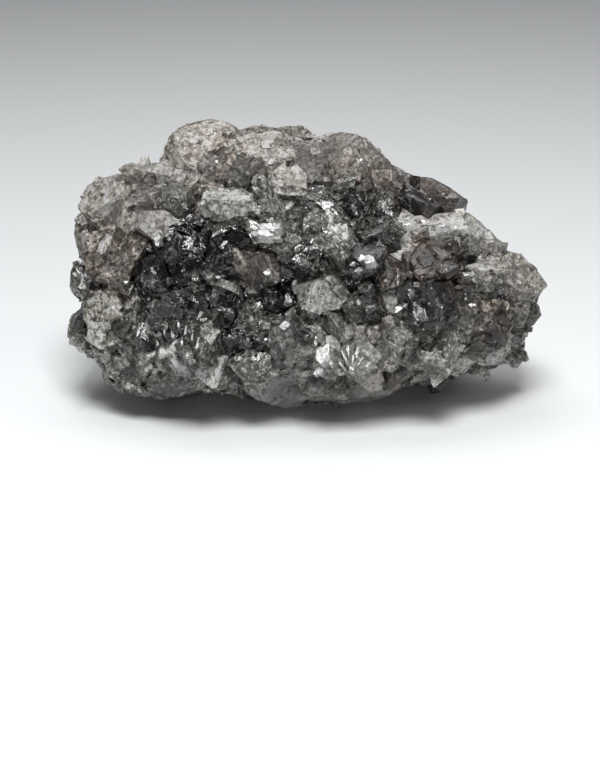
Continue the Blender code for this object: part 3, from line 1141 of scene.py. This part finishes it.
@dataclass
class FlashingCleavages:
    """Small faces along which the salt is cracked, so that they flash: placed ones and strewn ones.

    All sizes are in mm.

    Attributes:
        box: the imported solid's, in metres.
        above: how far in front the places of the flashes are looked up from.
        root: how deep a piece goes.
        rise: how far it stands out at the least.
        rise_more: what is added to that, as a share of its half width.
        piece_share: the size of a further piece of a flash, as a share of the flash's.
        piece_reach: how far from the flash's middle it lies, as a share of the flash's half sizes.
        overlap: the size of every piece, as a share.
        loose_deg: how far the pieces of a square flash are turned.
        elevation_deg: the way they face, so that they catch the light.
        azimuth_deg: the same, as seen from above.
        strewn: how many flakes are strewn over the mass.
        strewn_sway: how far a flake's direction is off that of its face, for each axis.
        strewn_upright: a flake that faces this much up the show face is left out.
    """

    mass: bpy.types.Object
    box: tuple[Vector, Vector]
    seed: int = 5
    above: float = 60.0
    root: float = 1.4
    rise: float = 0.18
    rise_more: tuple[float, float] = (0.1, 0.4)
    pieces_per_mm: float = 1.1
    piece_share: tuple[float, float] = (0.35, 0.7)
    piece_reach: tuple[float, float] = (0.45, 0.85)
    overlap: float = 0.8
    loose_deg: float = 25.0
    elevation_deg: float = 35.0
    azimuth_deg: float = -12.0
    spread_deg: float = 14.0
    strewn: int = 320
    strewn_half: tuple[float, float] = (0.14, 0.42)
    strewn_root: float = 0.4
    strewn_rise: float = 0.07
    strewn_sway: float = 0.3
    strewn_upright: float = 0.98
    rng: random.Random = field(init=False)
    cutter: ShardCutter = field(init=False)
    surface: BVHTree = field(init=False)

    def __post_init__(self) -> None:
        """Seeds the draws and reads the mass."""
        self.rng = random.Random(self.seed)
        self.cutter = ShardCutter(self.rng)
        mesh = self.mass.data
        points = [vert.co / MM for vert in mesh.vertices]
        self.surface = BVHTree.FromPolygons(points, [tuple(p.vertices) for p in mesh.polygons])

    def facing(self) -> Vector:
        """A direction close to the one that throws the light to the front."""
        elevation, azimuth = (
            math.radians(middle + self.rng.uniform(-1, 1) * self.spread_deg)
            for middle in (self.elevation_deg, self.azimuth_deg)
        )
        level = math.cos(elevation)
        return Vector((level * math.sin(azimuth), -level * math.cos(azimuth), math.sin(elevation)))

    def set_in(self, spot: Vector, outward: Vector, roll_deg: float, prism: np.ndarray) -> np.ndarray:
        """Sinks a prism in the surface.

        Args:
            spot: its place.
            outward: the way its outer face turns.
            roll_deg: how far it is turned about that.
            prism: its corners.

        Returns:
            The corners in their place.
        """
        side = UP.cross(outward).normalized()
        axes = Matrix((side, outward.cross(side), outward)).transposed()
        axes = axes @ Matrix.Rotation(math.radians(roll_deg), 3, "Z")
        return prism @ np.array(axes).T + np.array(spot)

    def placed(self) -> list[tuple[np.ndarray, int]]:
        """The flashes of the show face."""
        made = []
        for flash in FLASHES:
            start = from_layout(flash.u, flash.v, self.above)
            spot = self.surface.ray_cast(start, -FORWARD)[0]
            if spot is None:
                LOG.warning("no surface under the flash at %.1f, %.1f", flash.u, flash.v)
            else:
                made += self.cluster(flash, spot)
        return made

    def cluster(self, flash: Flash, spot: Vector) -> list[tuple[np.ndarray, int]]:
        """Breaks one flash up in a few faces that overlap and don't quite lie in one plane.

        Args:
            flash: the flash.
            spot: its place.

        Returns:
            The corners of each prism, and how many sides it has.
        """
        made = []
        roll = math.radians(flash.roll_deg)
        loose = self.loose_deg * flash.looseness()
        for number in range(1 + round(self.pieces_per_mm * (flash.half_long + flash.half_short))):
            share = self.rng.uniform(*self.piece_share) if number else 1.0
            reach = self.rng.uniform(*self.piece_reach) if number else 0.0
            turn = self.rng.uniform(0, math.tau)
            along = math.cos(turn) * reach * flash.half_long
            across = math.sin(turn) * reach * flash.half_short
            place = spot + RIGHT * (along * math.cos(roll) - across * math.sin(roll))
            place += UP * (along * math.sin(roll) + across * math.cos(roll))
            half = (flash.half_long * share * self.overlap, flash.half_short * share * self.overlap)
            rise = self.rise + self.rng.uniform(*self.rise_more) * min(half)
            turned = flash.roll_deg + self.rng.uniform(-loose, loose)
            outward = self.facing()
            prism = self.cutter.prism(half, -self.root, rise, flash.sides)
            made.append((self.set_in(place, outward, turned, prism), flash.sides))
        return made

    def scattered(self) -> list[tuple[np.ndarray, int]]:
        """Flakes strewn over the whole mass, each along its own cleavage."""
        polygons = self.mass.data.polygons
        areas = [polygon.area for polygon in polygons]
        low, high = self.strewn_half
        made = []
        for polygon in self.rng.choices(list(polygons), areas, k=self.strewn):
            outward = polygon.normal.copy()
            for axis in range(3):
                outward[axis] += self.rng.uniform(-self.strewn_sway, self.strewn_sway)
            outward.normalize()
            if abs(outward.dot(UP)) > self.strewn_upright:
                continue
            half = tuple(low * (high / low) ** self.rng.random() for _ in range(2))
            roll = self.rng.uniform(0, 180)
            prism = self.cutter.prism(half, -self.strewn_root, self.strewn_rise, 4)
            made.append((self.set_in(polygon.center / MM, outward, roll, prism), 4))
        return made

    def build(self) -> bpy.types.Object:
        """Makes one object, in metres, of all that lie inside the box."""
        low, high = (np.array(corner) / MM for corner in self.box)
        inside = [
            (corners * MM, sides)
            for corners, sides in self.placed() + self.scattered()
            if (corners >= low).all() and (corners <= high).all()
        ]
        mesh, _ = rings_mesh("flashing_cleavages", inside)
        mesh.materials.append(MirrorCleavageFinish().material())
        return put_in_scene("flashing_cleavages", mesh)


# --------------------------------------------------------------------------------------------
# Finishes
# --------------------------------------------------------------------------------------------

Socket = bpy.types.NodeSocket


@dataclass
class NodeSheet:
    """The node tree of a material or a world, with one way to add to it."""

    owner: bpy.types.Material | bpy.types.World

    def __post_init__(self) -> None:
        """Empties the tree."""
        self.owner.use_nodes = True
        self.owner.node_tree.nodes.clear()

    def add(self, kind: str, settings: dict | None = None, links: dict | None = None) -> list[Socket]:
        """Adds a node.

        The numbered inputs of a Map Range node are 1 and 2 for the limits that it maps from, 0
        and 1 unless they are given, and 3 and 4 for those that it maps to. Those of a Mix node
        are 0 for its share, and 6 and 7 for its colours.

        Args:
            kind: the node's type name, without the ShaderNode in front.
            settings: properties by name, or input values by name or number.
            links: for each input, by name or number, the socket that feeds it.

        Returns:
            The new node's outputs, which can be picked by name or number.
        """
        node = self.owner.node_tree.nodes.new("ShaderNode" + kind)
        for name, value in (settings or {}).items():
            if isinstance(name, str) and hasattr(node, name):
                setattr(node, name, value)
            else:
                node.inputs[name].default_value = value
        for name, source in (links or {}).items():
            self.owner.node_tree.links.new(source, node.inputs[name])
        return node.outputs


def tipped(sheet: NodeSheet, facing: Socket, cells: Socket, tip: float) -> Socket:
    """Tips a direction by the random colour of each cell.

    Args:
        sheet: the material's nodes.
        facing: the direction.
        cells: the colour.
        tip: how far it tips.

    Returns:
        The tipped direction, not yet of length 1.
    """
    sway = sheet.add("VectorMath", {"operation": "SUBTRACT", 1: (0.5,) * 3}, {0: cells})[0]
    return sheet.add("VectorMath", {"operation": "MULTIPLY_ADD", 1: (tip,) * 3}, {0: sway, 2: facing})[0]


def bent(sheet: NodeSheet, place: Socket, straight: Socket, rate: float, reach: float) -> Socket:
    """Shifts places about in waves.

    Args:
        sheet: the material's nodes.
        place: the places to shift.
        straight: the same places in the mass's own frame, in mm.
        rate: how many waves there are in a mm.
        reach: how far they shift, in mm.

    Returns:
        The shifted places.
    """
    waves = sheet.add("TexNoise", {"Scale": rate, "Detail": 1.0}, {"Vector": straight})["Color"]
    return sheet.add("VectorMath", {"operation": "MULTIPLY_ADD", 1: (reach,) * 3}, {0: waves, 2: place})[0]


@dataclass(frozen=True)
class RockSaltFinish:
    """Halite, broken by hand: see-through, glassy on its cleavage faces and frosted on its rim.

    Broken salt parts along square cleavages, so the eye meets small flat mirrors over a dark,
    glassy depth, with white where air has got in and brown where clay and iron have. Sizes are
    in mm. The finest cleavage steps and healed cracks are some hundredths of a mm wide, which
    is too fine to show, so they are drawn as cells of 0.6 and streaks of 0.34. Some of the white
    in the colour is painted glints and highlights: in the flecks, the streaks and the curls.
    """

    heart: str = "#0d0d0d"
    neutral: str = "#6e6d66"
    rim: str = "#cccbc3"
    rust: str = "#b89b8f"
    # the white of flaws and cracks, also used for painted glints and highlights
    flaw_and_glint_white: str = "#f2f2f1"
    pit: str = "#33291f"

    # How many times the colour doubles or halves by tone, block, chip and cloud, and by the
    # painted highlight on outward edges and painted shade in creases.
    tone_stops: float = 2.3
    block_stops: float = 0.6
    chip_stops: float = 1.9
    cloud_stops: float = 5.4
    edge_light_stops: float = 0.8
    pale_calm: float = 0.6  # what is left of that in the pale salt

    block: float = 2.6  # a cleavage block in a grain of 5 to 12
    chip: float = 0.6
    cell_shape: tuple[float, float, float] = (0.7, 1.2, 1.0)  # how often cells repeat on each axis
    bends: tuple[tuple[float, float], ...] = ((0.35, 1.6), (1.3, 0.7))  # waves in a mm, and reach
    cloud: float = 1.0
    patches_per_mm: float = 0.28  # clouds of cracks, about one to a grain

    # bright curls painted as highlights on flaws
    curl_size: float = 0.6
    curl_limits: tuple[float, float] = (2.2, 3.0)
    crack_cells_per_mm: tuple[float, float, float] = (0.35, 0.62, 0.5)
    crack_width: float = 0.07  # as a share of a cell
    crack_patches: tuple[float, float] = (0.5, 0.62)
    streak_length: float = 1.5
    streak_width: float = 0.34
    streak_depth: float = 0.6  # how often streaks repeat inwards, for each one across
    streak_patches: tuple[float, float] = (0.36, 0.68)
    streak_bar: tuple[float, float] = (0.74, 0.58)  # noise above this is a streak
    streak_edge: float = 0.09
    mark_shares: tuple[float, float, float] = (0.35, 0.5, 0.7)  # painted highlight curls, cracks and streaks

    # White flecks, partly flaws and partly painted glints, and brown pits: one cell's size, how
    # few cells have one, and the widest.
    fleck_cells: tuple[float, float, float] = (0.95, 0.64, 0.36)
    pit_cells: tuple[float, float, float] = (1.15, 0.26, 0.38)
    ragged: tuple[float, float] = (2.4, 0.9)  # waves in a mm, and reach

    block_tip: float = 0.6
    glint_length: float = 1.5
    glint_width: float = 0.42
    glint_tip: float = 0.2
    pitting: tuple[float, float] = (0.2, 1.0)  # from clear to pale salt
    pit_depth: float = 0.6
    gloss: tuple[float, float] = (0.06, 0.22)
    gloss_clouds: tuple[float, float] = (0.35, 0.65)
    pale_dull: float = 0.25
    rust_dull: float = 0.3
    streak_dull: float = 0.25
    ior: float = 1.544
    specular_level: float = 0.32
    transmission: float = 0.7
    absorption_colour: str = "#aeaba6"
    absorption_density: float = 90.0

    def material(self) -> bpy.types.Material:
        """Builds the material."""
        sheet = NodeSheet(bpy.data.materials.new("rock_salt"))
        straight, lattice = self.places(sheet)
        tints = self.tints(sheet)
        blocks, chips = (self.cells(sheet, lattice, size) for size in (self.block, self.chip))
        patch_look = {"Scale": self.patches_per_mm, "Detail": 2.0}
        patch = sheet.add("TexNoise", patch_look, {"Vector": straight})["Fac"]
        cloud_look = {"Scale": 1 / self.cloud, "Detail": 3.0, "Roughness": 0.75, "Distortion": 0.4}
        clouds = sheet.add("TexNoise", cloud_look, {"Vector": straight})["Fac"]
        streaks = self.streaks(sheet, lattice, patch)
        marks = (self.flaw_highlight_curls(sheet, straight), self.cracks(sheet, lattice, patch), streaks)
        total = self.stops(sheet, tints, blocks, chips, clouds)
        shader = sheet.add(
            "BsdfPrincipled",
            {
                "IOR": self.ior,
                "Transmission Weight": self.transmission,
                "Specular IOR Level": self.specular_level,
            },
            {
                "Base Color": self.colour(sheet, straight, tints, total, marks),
                "Roughness": self.roughness(sheet, tints, clouds, streaks),
                "Normal": self.normal(sheet, lattice, tints, blocks, clouds),
            },
        )[0]
        colour, density = linear(self.absorption_colour), self.absorption_density
        depth = sheet.add("VolumeAbsorption", {"Color": colour, "Density": density})[0]
        sheet.add("OutputMaterial", {}, {"Surface": shader, "Volume": depth})
        return sheet.owner

    def places(self, sheet: NodeSheet) -> tuple[Socket, Socket]:
        """Places on the mass in mm: in its own frame, and in the lattice of the crystal's face."""
        metres = sheet.add("TexCoord")["Object"]
        straight = sheet.add("VectorMath", {"operation": "SCALE", "Scale": 1 / MM}, {0: metres})[0]
        along = sheet.add("Attribute", {"attribute_name": "along"})["Vector"]
        outward = sheet.add("Attribute", {"attribute_name": "outward"})["Vector"]
        across = sheet.add("VectorMath", {"operation": "CROSS_PRODUCT"}, {0: outward, 1: along})[0]
        parts = [
            sheet.add("VectorMath", {"operation": "DOT_PRODUCT"}, {0: axis, 1: straight})["Value"]
            for axis in (along, across, outward)
        ]
        lattice = sheet.add("CombineXYZ", {}, dict(enumerate(parts)))[0]
        for rate, reach in self.bends:
            lattice = bent(sheet, lattice, straight, rate, reach)
        return straight, lattice

    def tints(self, sheet: NodeSheet) -> dict[str, Socket]:
        """Reads how dark, pale and rusty each face is, its own tone, and the painted edge light and crease
        shade.
        """
        stored = sheet.add("Attribute", {"attribute_name": "tints"})["Vector"]
        found = dict(zip(("dark", "pale", "rust"), sheet.add("SeparateXYZ", {}, {0: stored})))
        found["tone"] = sheet.add("Attribute", {"attribute_name": "tone"})["Fac"]
        painted_edge_light = sheet.add("Attribute", {"attribute_name": "painted_edge_light"})["Fac"]
        found["painted_edge_light"] = sheet.add("MapRange", {1: -1.0}, {0: painted_edge_light})[0]
        return found

    def cells(self, sheet: NodeSheet, lattice: Socket, size: float) -> Socket:
        """Cleavage cells of about that size, each with its own random colour."""
        rates = tuple(rate / size for rate in self.cell_shape)
        place = sheet.add("VectorMath", {"operation": "MULTIPLY", 1: rates}, {0: lattice})[0]
        look = {"distance": "CHEBYCHEV", "Scale": 1.0}
        return sheet.add("TexVoronoi", look, {"Vector": place})["Color"]

    def flaw_highlight_curls(self, sheet: NodeSheet, straight: Socket) -> Socket:
        """Fine bright curls: painted highlights where light catches on flaws under the surface."""
        look = {
            "noise_type": "RIDGED_MULTIFRACTAL", "normalize": False, "Scale": 1 / self.curl_size,
            "Detail": 2.0, "Roughness": 0.8, "Offset": 1.0, "Gain": 2.0, "Distortion": 0.8,
        }
        ridges = sheet.add("TexNoise", look, {"Vector": straight})["Fac"]
        low, high = self.curl_limits
        return sheet.add("MapRange", {1: low, 2: high}, {0: ridges})[0]

    def cracks(self, sheet: NodeSheet, lattice: Socket, patch: Socket) -> Socket:
        """Healed cleavage cracks: bright hairlines between square cells, in patches."""
        rates = {"operation": "MULTIPLY", 1: self.crack_cells_per_mm}
        place = sheet.add("VectorMath", rates, {0: lattice})[0]
        nearest, second = (
            sheet.add(
                "TexVoronoi",
                {"feature": feature, "distance": "CHEBYCHEV", "Scale": 1.0},
                {"Vector": place},
            )["Distance"]
            for feature in ("F1", "F2")
        )
        gap = sheet.add("Math", {"operation": "SUBTRACT"}, {0: second, 1: nearest})[0]
        line = sheet.add("MapRange", {2: self.crack_width, 3: 1.0, 4: 0.0}, {0: gap})[0]
        low, high = self.crack_patches
        shown = sheet.add("MapRange", {1: low, 2: high}, {0: patch})[0]
        return sheet.add("Math", {"operation": "MULTIPLY"}, {0: line, 1: shown})[0]

    def streaks(self, sheet: NodeSheet, lattice: Socket, patch: Socket) -> Socket:
        """Short white streaks along the lattice: inner cleavage seen edge on, and partly painted glints.
        """
        width = self.streak_width
        rates = (1 / self.streak_length, 1 / width, self.streak_depth / width)
        place = sheet.add("VectorMath", {"operation": "MULTIPLY", 1: rates}, {0: lattice})[0]
        look = {"Scale": 1.0, "Detail": 2.0, "Roughness": 0.6}
        lines = sheet.add("TexNoise", look, {"Vector": place})["Fac"]
        limits = dict(enumerate(self.streak_patches + self.streak_bar, start=1))
        bar = sheet.add("MapRange", limits, {0: patch})[0]
        over = sheet.add("Math", {"operation": "SUBTRACT"}, {0: lines, 1: bar})[0]
        return sheet.add("MapRange", {2: self.streak_edge}, {0: over})[0]

    def stops(
        self, sheet: NodeSheet, tints: dict[str, Socket], blocks: Socket, chips: Socket, clouds: Socket
    ) -> Socket:
        """How many times the salt's colour doubles here: by crystal, cell and cloud, and by painted edge
        light and crease shade.
        """
        total = None
        for source, reach in (
            (tints["tone"], self.tone_stops),
            (blocks, self.block_stops),
            (chips, self.chip_stops),
            (clouds, self.cloud_stops),
            # painted highlight on outward edges and painted shade in creases
            (tints["painted_edge_light"], self.edge_light_stops),
        ):
            part = sheet.add("MapRange", {3: -reach, 4: reach}, {0: source})[0]
            total = sheet.add("Math", {"operation": "ADD"}, {0: total, 1: part})[0] if total else part
        calm = sheet.add("MapRange", {3: 1.0, 4: self.pale_calm}, {0: tints["pale"]})[0]
        return sheet.add("Math", {"operation": "MULTIPLY"}, {0: total, 1: calm})[0]

    def colour(
        self, sheet: NodeSheet, straight: Socket, tints: dict[str, Socket], total: Socket,
        marks: tuple[Socket, ...],
    ) -> Socket:
        """Mixes the heart, the rim and the stains, and lays the fine marks over them.

        Args:
            sheet: the material's nodes.
            straight: places in the mass's own frame, in mm.
            tints: how dark, pale and rusty the salt is.
            total: how many times its colour doubles.
            marks: the painted highlight curls, the cracks and the streaks.

        Returns:
            The colour.
        """
        ends = {"data_type": "RGBA", 6: linear(self.neutral), 7: linear(self.heart)}
        colour = sheet.add("Mix", ends, {0: tints["dark"]})[2]
        for tint, shade, blend in (("pale", self.rim, "MIX"), ("rust", self.rust, "MULTIPLY")):
            look = {"data_type": "RGBA", "blend_type": blend, 7: linear(shade)}
            colour = sheet.add("Mix", look, {0: tints[tint], 6: colour})[2]
        gain = sheet.add("Math", {"operation": "POWER", 0: 2.0}, {1: total})[0]
        colour = sheet.add("VectorMath", {"operation": "SCALE"}, {0: colour, "Scale": gain})[0]
        # the marks are mixed towards white: the cracks are flaws, the curls painted highlights, the
        # streaks partly painted glints
        white = {"data_type": "RGBA", 7: linear(self.flaw_and_glint_white)}
        for mark, strength in zip(marks, self.mark_shares):
            share = sheet.add("Math", {"operation": "MULTIPLY", 1: strength}, {0: mark})[0]
            colour = sheet.add("Mix", white, {0: share, 6: colour})[2]
        colour = self.with_specks(sheet, straight, tints, colour)
        # The gain can take a colour above 1, which no surface throws back, so it is cut off there.
        limit = {"data_type": "RGBA", "clamp_result": True, 0: 0.0}
        return sheet.add("Mix", limit, {6: colour, 7: colour})[2]

    def with_specks(
        self, sheet: NodeSheet, straight: Socket, tints: dict[str, Socket], colour: Socket
    ) -> Socket:
        """Lays white flecks over all the salt, partly flaws and partly painted glints, and brown pits over
        the pale salt.
        """
        ragged = bent(sheet, straight, straight, *self.ragged)
        # the white flecks are partly painted glints
        for (cell, rare, widest), tint, shade in (
            (self.fleck_cells, None, self.flaw_and_glint_white),
            (self.pit_cells, tints["pale"], self.pit),
        ):
            spots = sheet.add("TexVoronoi", {"Scale": 1 / cell}, {"Vector": ragged})
            size = sheet.add("MapRange", {1: rare, 3: 0.0, 4: widest}, {0: spots["Color"]})[0]
            inside = sheet.add("Math", {"operation": "LESS_THAN"}, {0: spots["Distance"], 1: size})[0]
            if tint:
                inside = sheet.add("Math", {"operation": "MULTIPLY"}, {0: inside, 1: tint})[0]
            look = {"data_type": "RGBA", 7: linear(shade)}
            colour = sheet.add("Mix", look, {0: inside, 6: colour})[2]
        return colour

    def roughness(
        self, sheet: NodeSheet, tints: dict[str, Socket], clouds: Socket, streaks: Socket
    ) -> Socket:
        """Glassy on the heart's cleavage faces, duller on the rim, in the stains and on the streaks."""
        limits = dict(enumerate(self.gloss_clouds + self.gloss, start=1))
        rough = sheet.add("MapRange", limits, {0: clouds})[0]
        for source, rate in (
            (tints["pale"], self.pale_dull),
            (tints["rust"], self.rust_dull),
            (streaks, self.streak_dull),
        ):
            look = {"operation": "MULTIPLY_ADD", 1: rate}
            rough = sheet.add("Math", look, {0: source, 2: rough})[0]
        return rough

    def normal(
        self, sheet: NodeSheet, lattice: Socket, tints: dict[str, Socket], blocks: Socket, clouds: Socket
    ) -> Socket:
        """Tips each small cleavage its own way, so that it glints, and pits the pale salt finely."""
        rates = (1 / self.glint_length, 1 / self.glint_width, 1 / self.glint_width)
        place = sheet.add("VectorMath", {"operation": "MULTIPLY", 1: rates}, {0: lattice})[0]
        slivers = sheet.add("TexVoronoi", {"Scale": 1.0}, {"Vector": place})["Color"]
        facing = sheet.add("NewGeometry")["Normal"]
        facing = tipped(sheet, facing, blocks, self.block_tip)
        facing = tipped(sheet, facing, slivers, self.glint_tip)
        facing = sheet.add("VectorMath", {"operation": "NORMALIZE"}, {0: facing})[0]
        low, high = self.pitting
        strength = sheet.add("MapRange", {3: low, 4: high}, {0: tints["pale"]})[0]
        links = {"Strength": strength, "Height": clouds, "Normal": facing}
        return sheet.add("Bump", {"Distance": self.pit_depth * MM}, links)[0]


@dataclass(frozen=True)
class MirrorCleavageFinish:
    """Halite with air let in along a cleavage: the crack throws light back like dull silver.

    The air film is thinner than a hair and crazed, so it isn't one mirror but a field of flecks.
    They are a few hundredths of a mm in the stone, and drawn half a mm wide here.
    """

    colour: str = "#adaeac"
    milk: str = "#828281"
    roughness: float = 0.42
    metallic: float = 0.3
    fleck: float = 0.5  # mm
    milky: tuple[float, float] = (0.46, 0.64)
    tip: float = 0.22

    def material(self) -> bpy.types.Material:
        """Builds the material."""
        sheet = NodeSheet(bpy.data.materials.new("air_filled_cleavage"))
        metres = sheet.add("TexCoord")["Object"]
        rate = 1 / (self.fleck * MM)
        cells = sheet.add("TexVoronoi", {"Scale": rate}, {"Vector": metres})["Color"]
        look = {"Scale": rate, "Detail": 3.0, "Roughness": 0.7}
        clouds = sheet.add("TexNoise", look, {"Vector": metres})["Fac"]
        low, high = self.milky
        share = sheet.add("MapRange", {1: low, 2: high}, {0: clouds})[0]
        ends = {"data_type": "RGBA", 6: linear(self.colour), 7: linear(self.milk)}
        colour = sheet.add("Mix", ends, {0: share})[2]
        facing = tipped(sheet, sheet.add("NewGeometry")["Normal"], cells, self.tip)
        facing = sheet.add("VectorMath", {"operation": "NORMALIZE"}, {0: facing})[0]
        look = {"Metallic": self.metallic, "Roughness": self.roughness}
        shader = sheet.add("BsdfPrincipled", look, {"Base Color": colour, "Normal": facing})[0]
        sheet.add("OutputMaterial", {}, {"Surface": shader})
        return sheet.owner


@dataclass(frozen=True)
class PaperFinish:
    """Studio background paper, calendered matt: even and pale, with hardly any sheen."""

    colour: str = "#cdcfd0"
    roughness: float = 0.85
    specular_level: float = 0.2

    def material(self) -> bpy.types.Material:
        """Builds the material."""
        sheet = NodeSheet(bpy.data.materials.new("studio_paper"))
        look = {
            "Base Color": linear(self.colour),
            "Roughness": self.roughness,
            "Specular IOR Level": self.specular_level,
        }
        sheet.add("OutputMaterial", {}, {"Surface": sheet.add("BsdfPrincipled", look)[0]})
        return sheet.owner


# --------------------------------------------------------------------------------------------
# Studio
# --------------------------------------------------------------------------------------------


@dataclass(frozen=True)
class SoftBox:
    """An area light that faces the specimen. Sizes are in metres."""

    name: str
    place: tuple[float, float, float]
    size: tuple[float, float]
    watts: float
    colour: str = "#ffffff"
    aim_height: float = 0.03

    def hang(self) -> None:
        """Puts it in the scene."""
        data = bpy.data.lights.new(self.name, "AREA")
        data.shape = "RECTANGLE"
        data.size, data.size_y = self.size
        data.energy = self.watts
        data.color = linear(self.colour)[:3]
        lamp = put_in_scene(self.name, data)
        lamp.location = self.place
        way = Vector((0, 0, self.aim_height)) - Vector(self.place)
        lamp.rotation_mode = "QUATERNION"
        lamp.rotation_quaternion = way.to_track_quat("-Z", "Y")


@dataclass(frozen=True)
class Studio:
    """A pale sweep of paper, soft light mostly from above the front, and the camera.

    Attributes:
        lens: in mm.
        sensor: in mm, on the frame's long side.
        aim: what the camera looks at, in layout mm.
        flat: the radius of the flat paper, in metres.
        curve: the radius in which it curves up, in metres.
        curve_deg: how far it curves up.
        room_up: the way from the room's dark side to its bright side.
        room_light: how bright the two are.
    """

    lens: float = 100.0
    sensor: float = 36.0
    pixels_per_mm: float = 4.76
    frame_height: int = 776
    elevation_deg: float = 20.0
    aim: tuple[float, float, float] = (-2.02, 4.2, -2.0)
    flat: float = 1.7
    curve: float = 0.7
    curve_deg: float = 80.0
    curve_rings: int = 9
    sides: int = 96
    room_colour: str = "#f4f6fa"
    room_up: tuple[float, float, float] = (0.0, 0.45, 0.9)
    room_range: tuple[float, float] = (-0.3, 1.0)
    room_light: tuple[float, float] = (0.11, 0.25)
    boxes: tuple[SoftBox, ...] = (
        SoftBox("key_box", (0.01, -0.29, 0.46), (0.2, 0.2), 3.9),
        SoftBox("top_box", (-0.06, 0.12, 0.44), (0.34, 0.30), 0.85),
        SoftBox("front_card", (0.04, -0.56, 0.1), (0.3, 0.1), 0.45),
        SoftBox("right_box", (0.45, -0.15, 0.3), (0.1, 0.14), 0.25, "#fff8f0"),
    )

    def camera(self) -> None:
        """Sets the camera up square to the show face, above the horizon."""
        data = bpy.data.cameras.new("camera")
        data.lens = self.lens
        data.sensor_width = self.sensor
        data.clip_start = 0.01
        data.clip_end = 20.0
        camera = put_in_scene("camera", data)
        distance = self.lens / self.sensor * self.frame_height / self.pixels_per_mm
        elevation = math.radians(self.elevation_deg)
        back = Vector((0.0, -math.cos(elevation), math.sin(elevation)))
        camera.location = (from_layout(*self.aim) + back * distance) * MM
        camera.rotation_mode = "QUATERNION"
        camera.rotation_quaternion = (-back).to_track_quat("-Z", "Y")
        bpy.context.scene.camera = camera

    def sweep(self) -> None:
        """Lays the paper: flat under the specimen and curving up far away on every side."""
        turns = [math.tau * i / self.sides for i in range(self.sides)]
        points = [(0.0, 0.0, 0.0)]
        for ring in range(self.curve_rings + 1):
            angle = math.radians(self.curve_deg * ring / self.curve_rings)
            reach, height = self.flat + self.curve * math.sin(angle), self.curve * (1 - math.cos(angle))
            points += [(reach * math.cos(turn), reach * math.sin(turn), height) for turn in turns]
        steps = [(1 + i, 1 + (i + 1) % self.sides) for i in range(self.sides)]
        faces = [(0, i, j) for i, j in steps]
        for low in range(0, self.curve_rings * self.sides, self.sides):
            high = low + self.sides
            faces += [(low + i, high + i, high + j, low + j) for i, j in steps]
        mesh = bpy.data.meshes.new("paper_sweep")
        mesh.from_pydata(points, [], faces)
        mesh.shade_smooth()
        mesh.materials.append(PaperFinish().material())
        put_in_scene("paper_sweep", mesh)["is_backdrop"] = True

    def light(self) -> None:
        """Fills the room with pale light, more of it from above and behind, and hangs the boxes."""
        sheet = NodeSheet(bpy.data.worlds.new("pale_room"))
        way = sheet.add("TexCoord")["Generated"]
        look = {"operation": "DOT_PRODUCT", 1: self.room_up}
        height = sheet.add("VectorMath", look, {0: way})["Value"]
        limits = dict(enumerate(self.room_range + self.room_light, start=1))
        strength = sheet.add("MapRange", limits, {0: height})[0]
        glow = sheet.add("Background", {"Color": linear(self.room_colour)}, {"Strength": strength})[0]
        sheet.add("OutputWorld", {}, {"Surface": glow})
        bpy.context.scene.world = sheet.owner
        for box in self.boxes:
            box.hang()
        bpy.context.scene.view_settings.view_transform = "Standard"

    def build(self) -> None:
        """Sets up the whole studio."""
        self.camera()
        self.sweep()
        self.light()


def main() -> None:
    """Builds the specimen and its studio."""
    logging.basicConfig(level=logging.INFO, format="%(name)s: %(message)s")
    packed_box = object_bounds()
    packed = PackedCrystals()
    LOG.info("%d faces on %d crystals", len(packed.faces), len({f.crystal for f in packed.faces}))
    mass = BrokenSurface(packed).build()
    mass.data.materials.clear()
    mass.data.materials.append(RockSaltFinish().material())
    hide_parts(NODE)
    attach(mass, BODY)
    LOG.info("mass: %d faces", len(mass.data.polygons))
    flashes = FlashingCleavages(mass, packed_box).build()
    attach(flashes, BODY)
    LOG.info("flashes: %d faces", len(flashes.data.polygons))
    Studio().build()


if __name__ == "__main__":
    main()
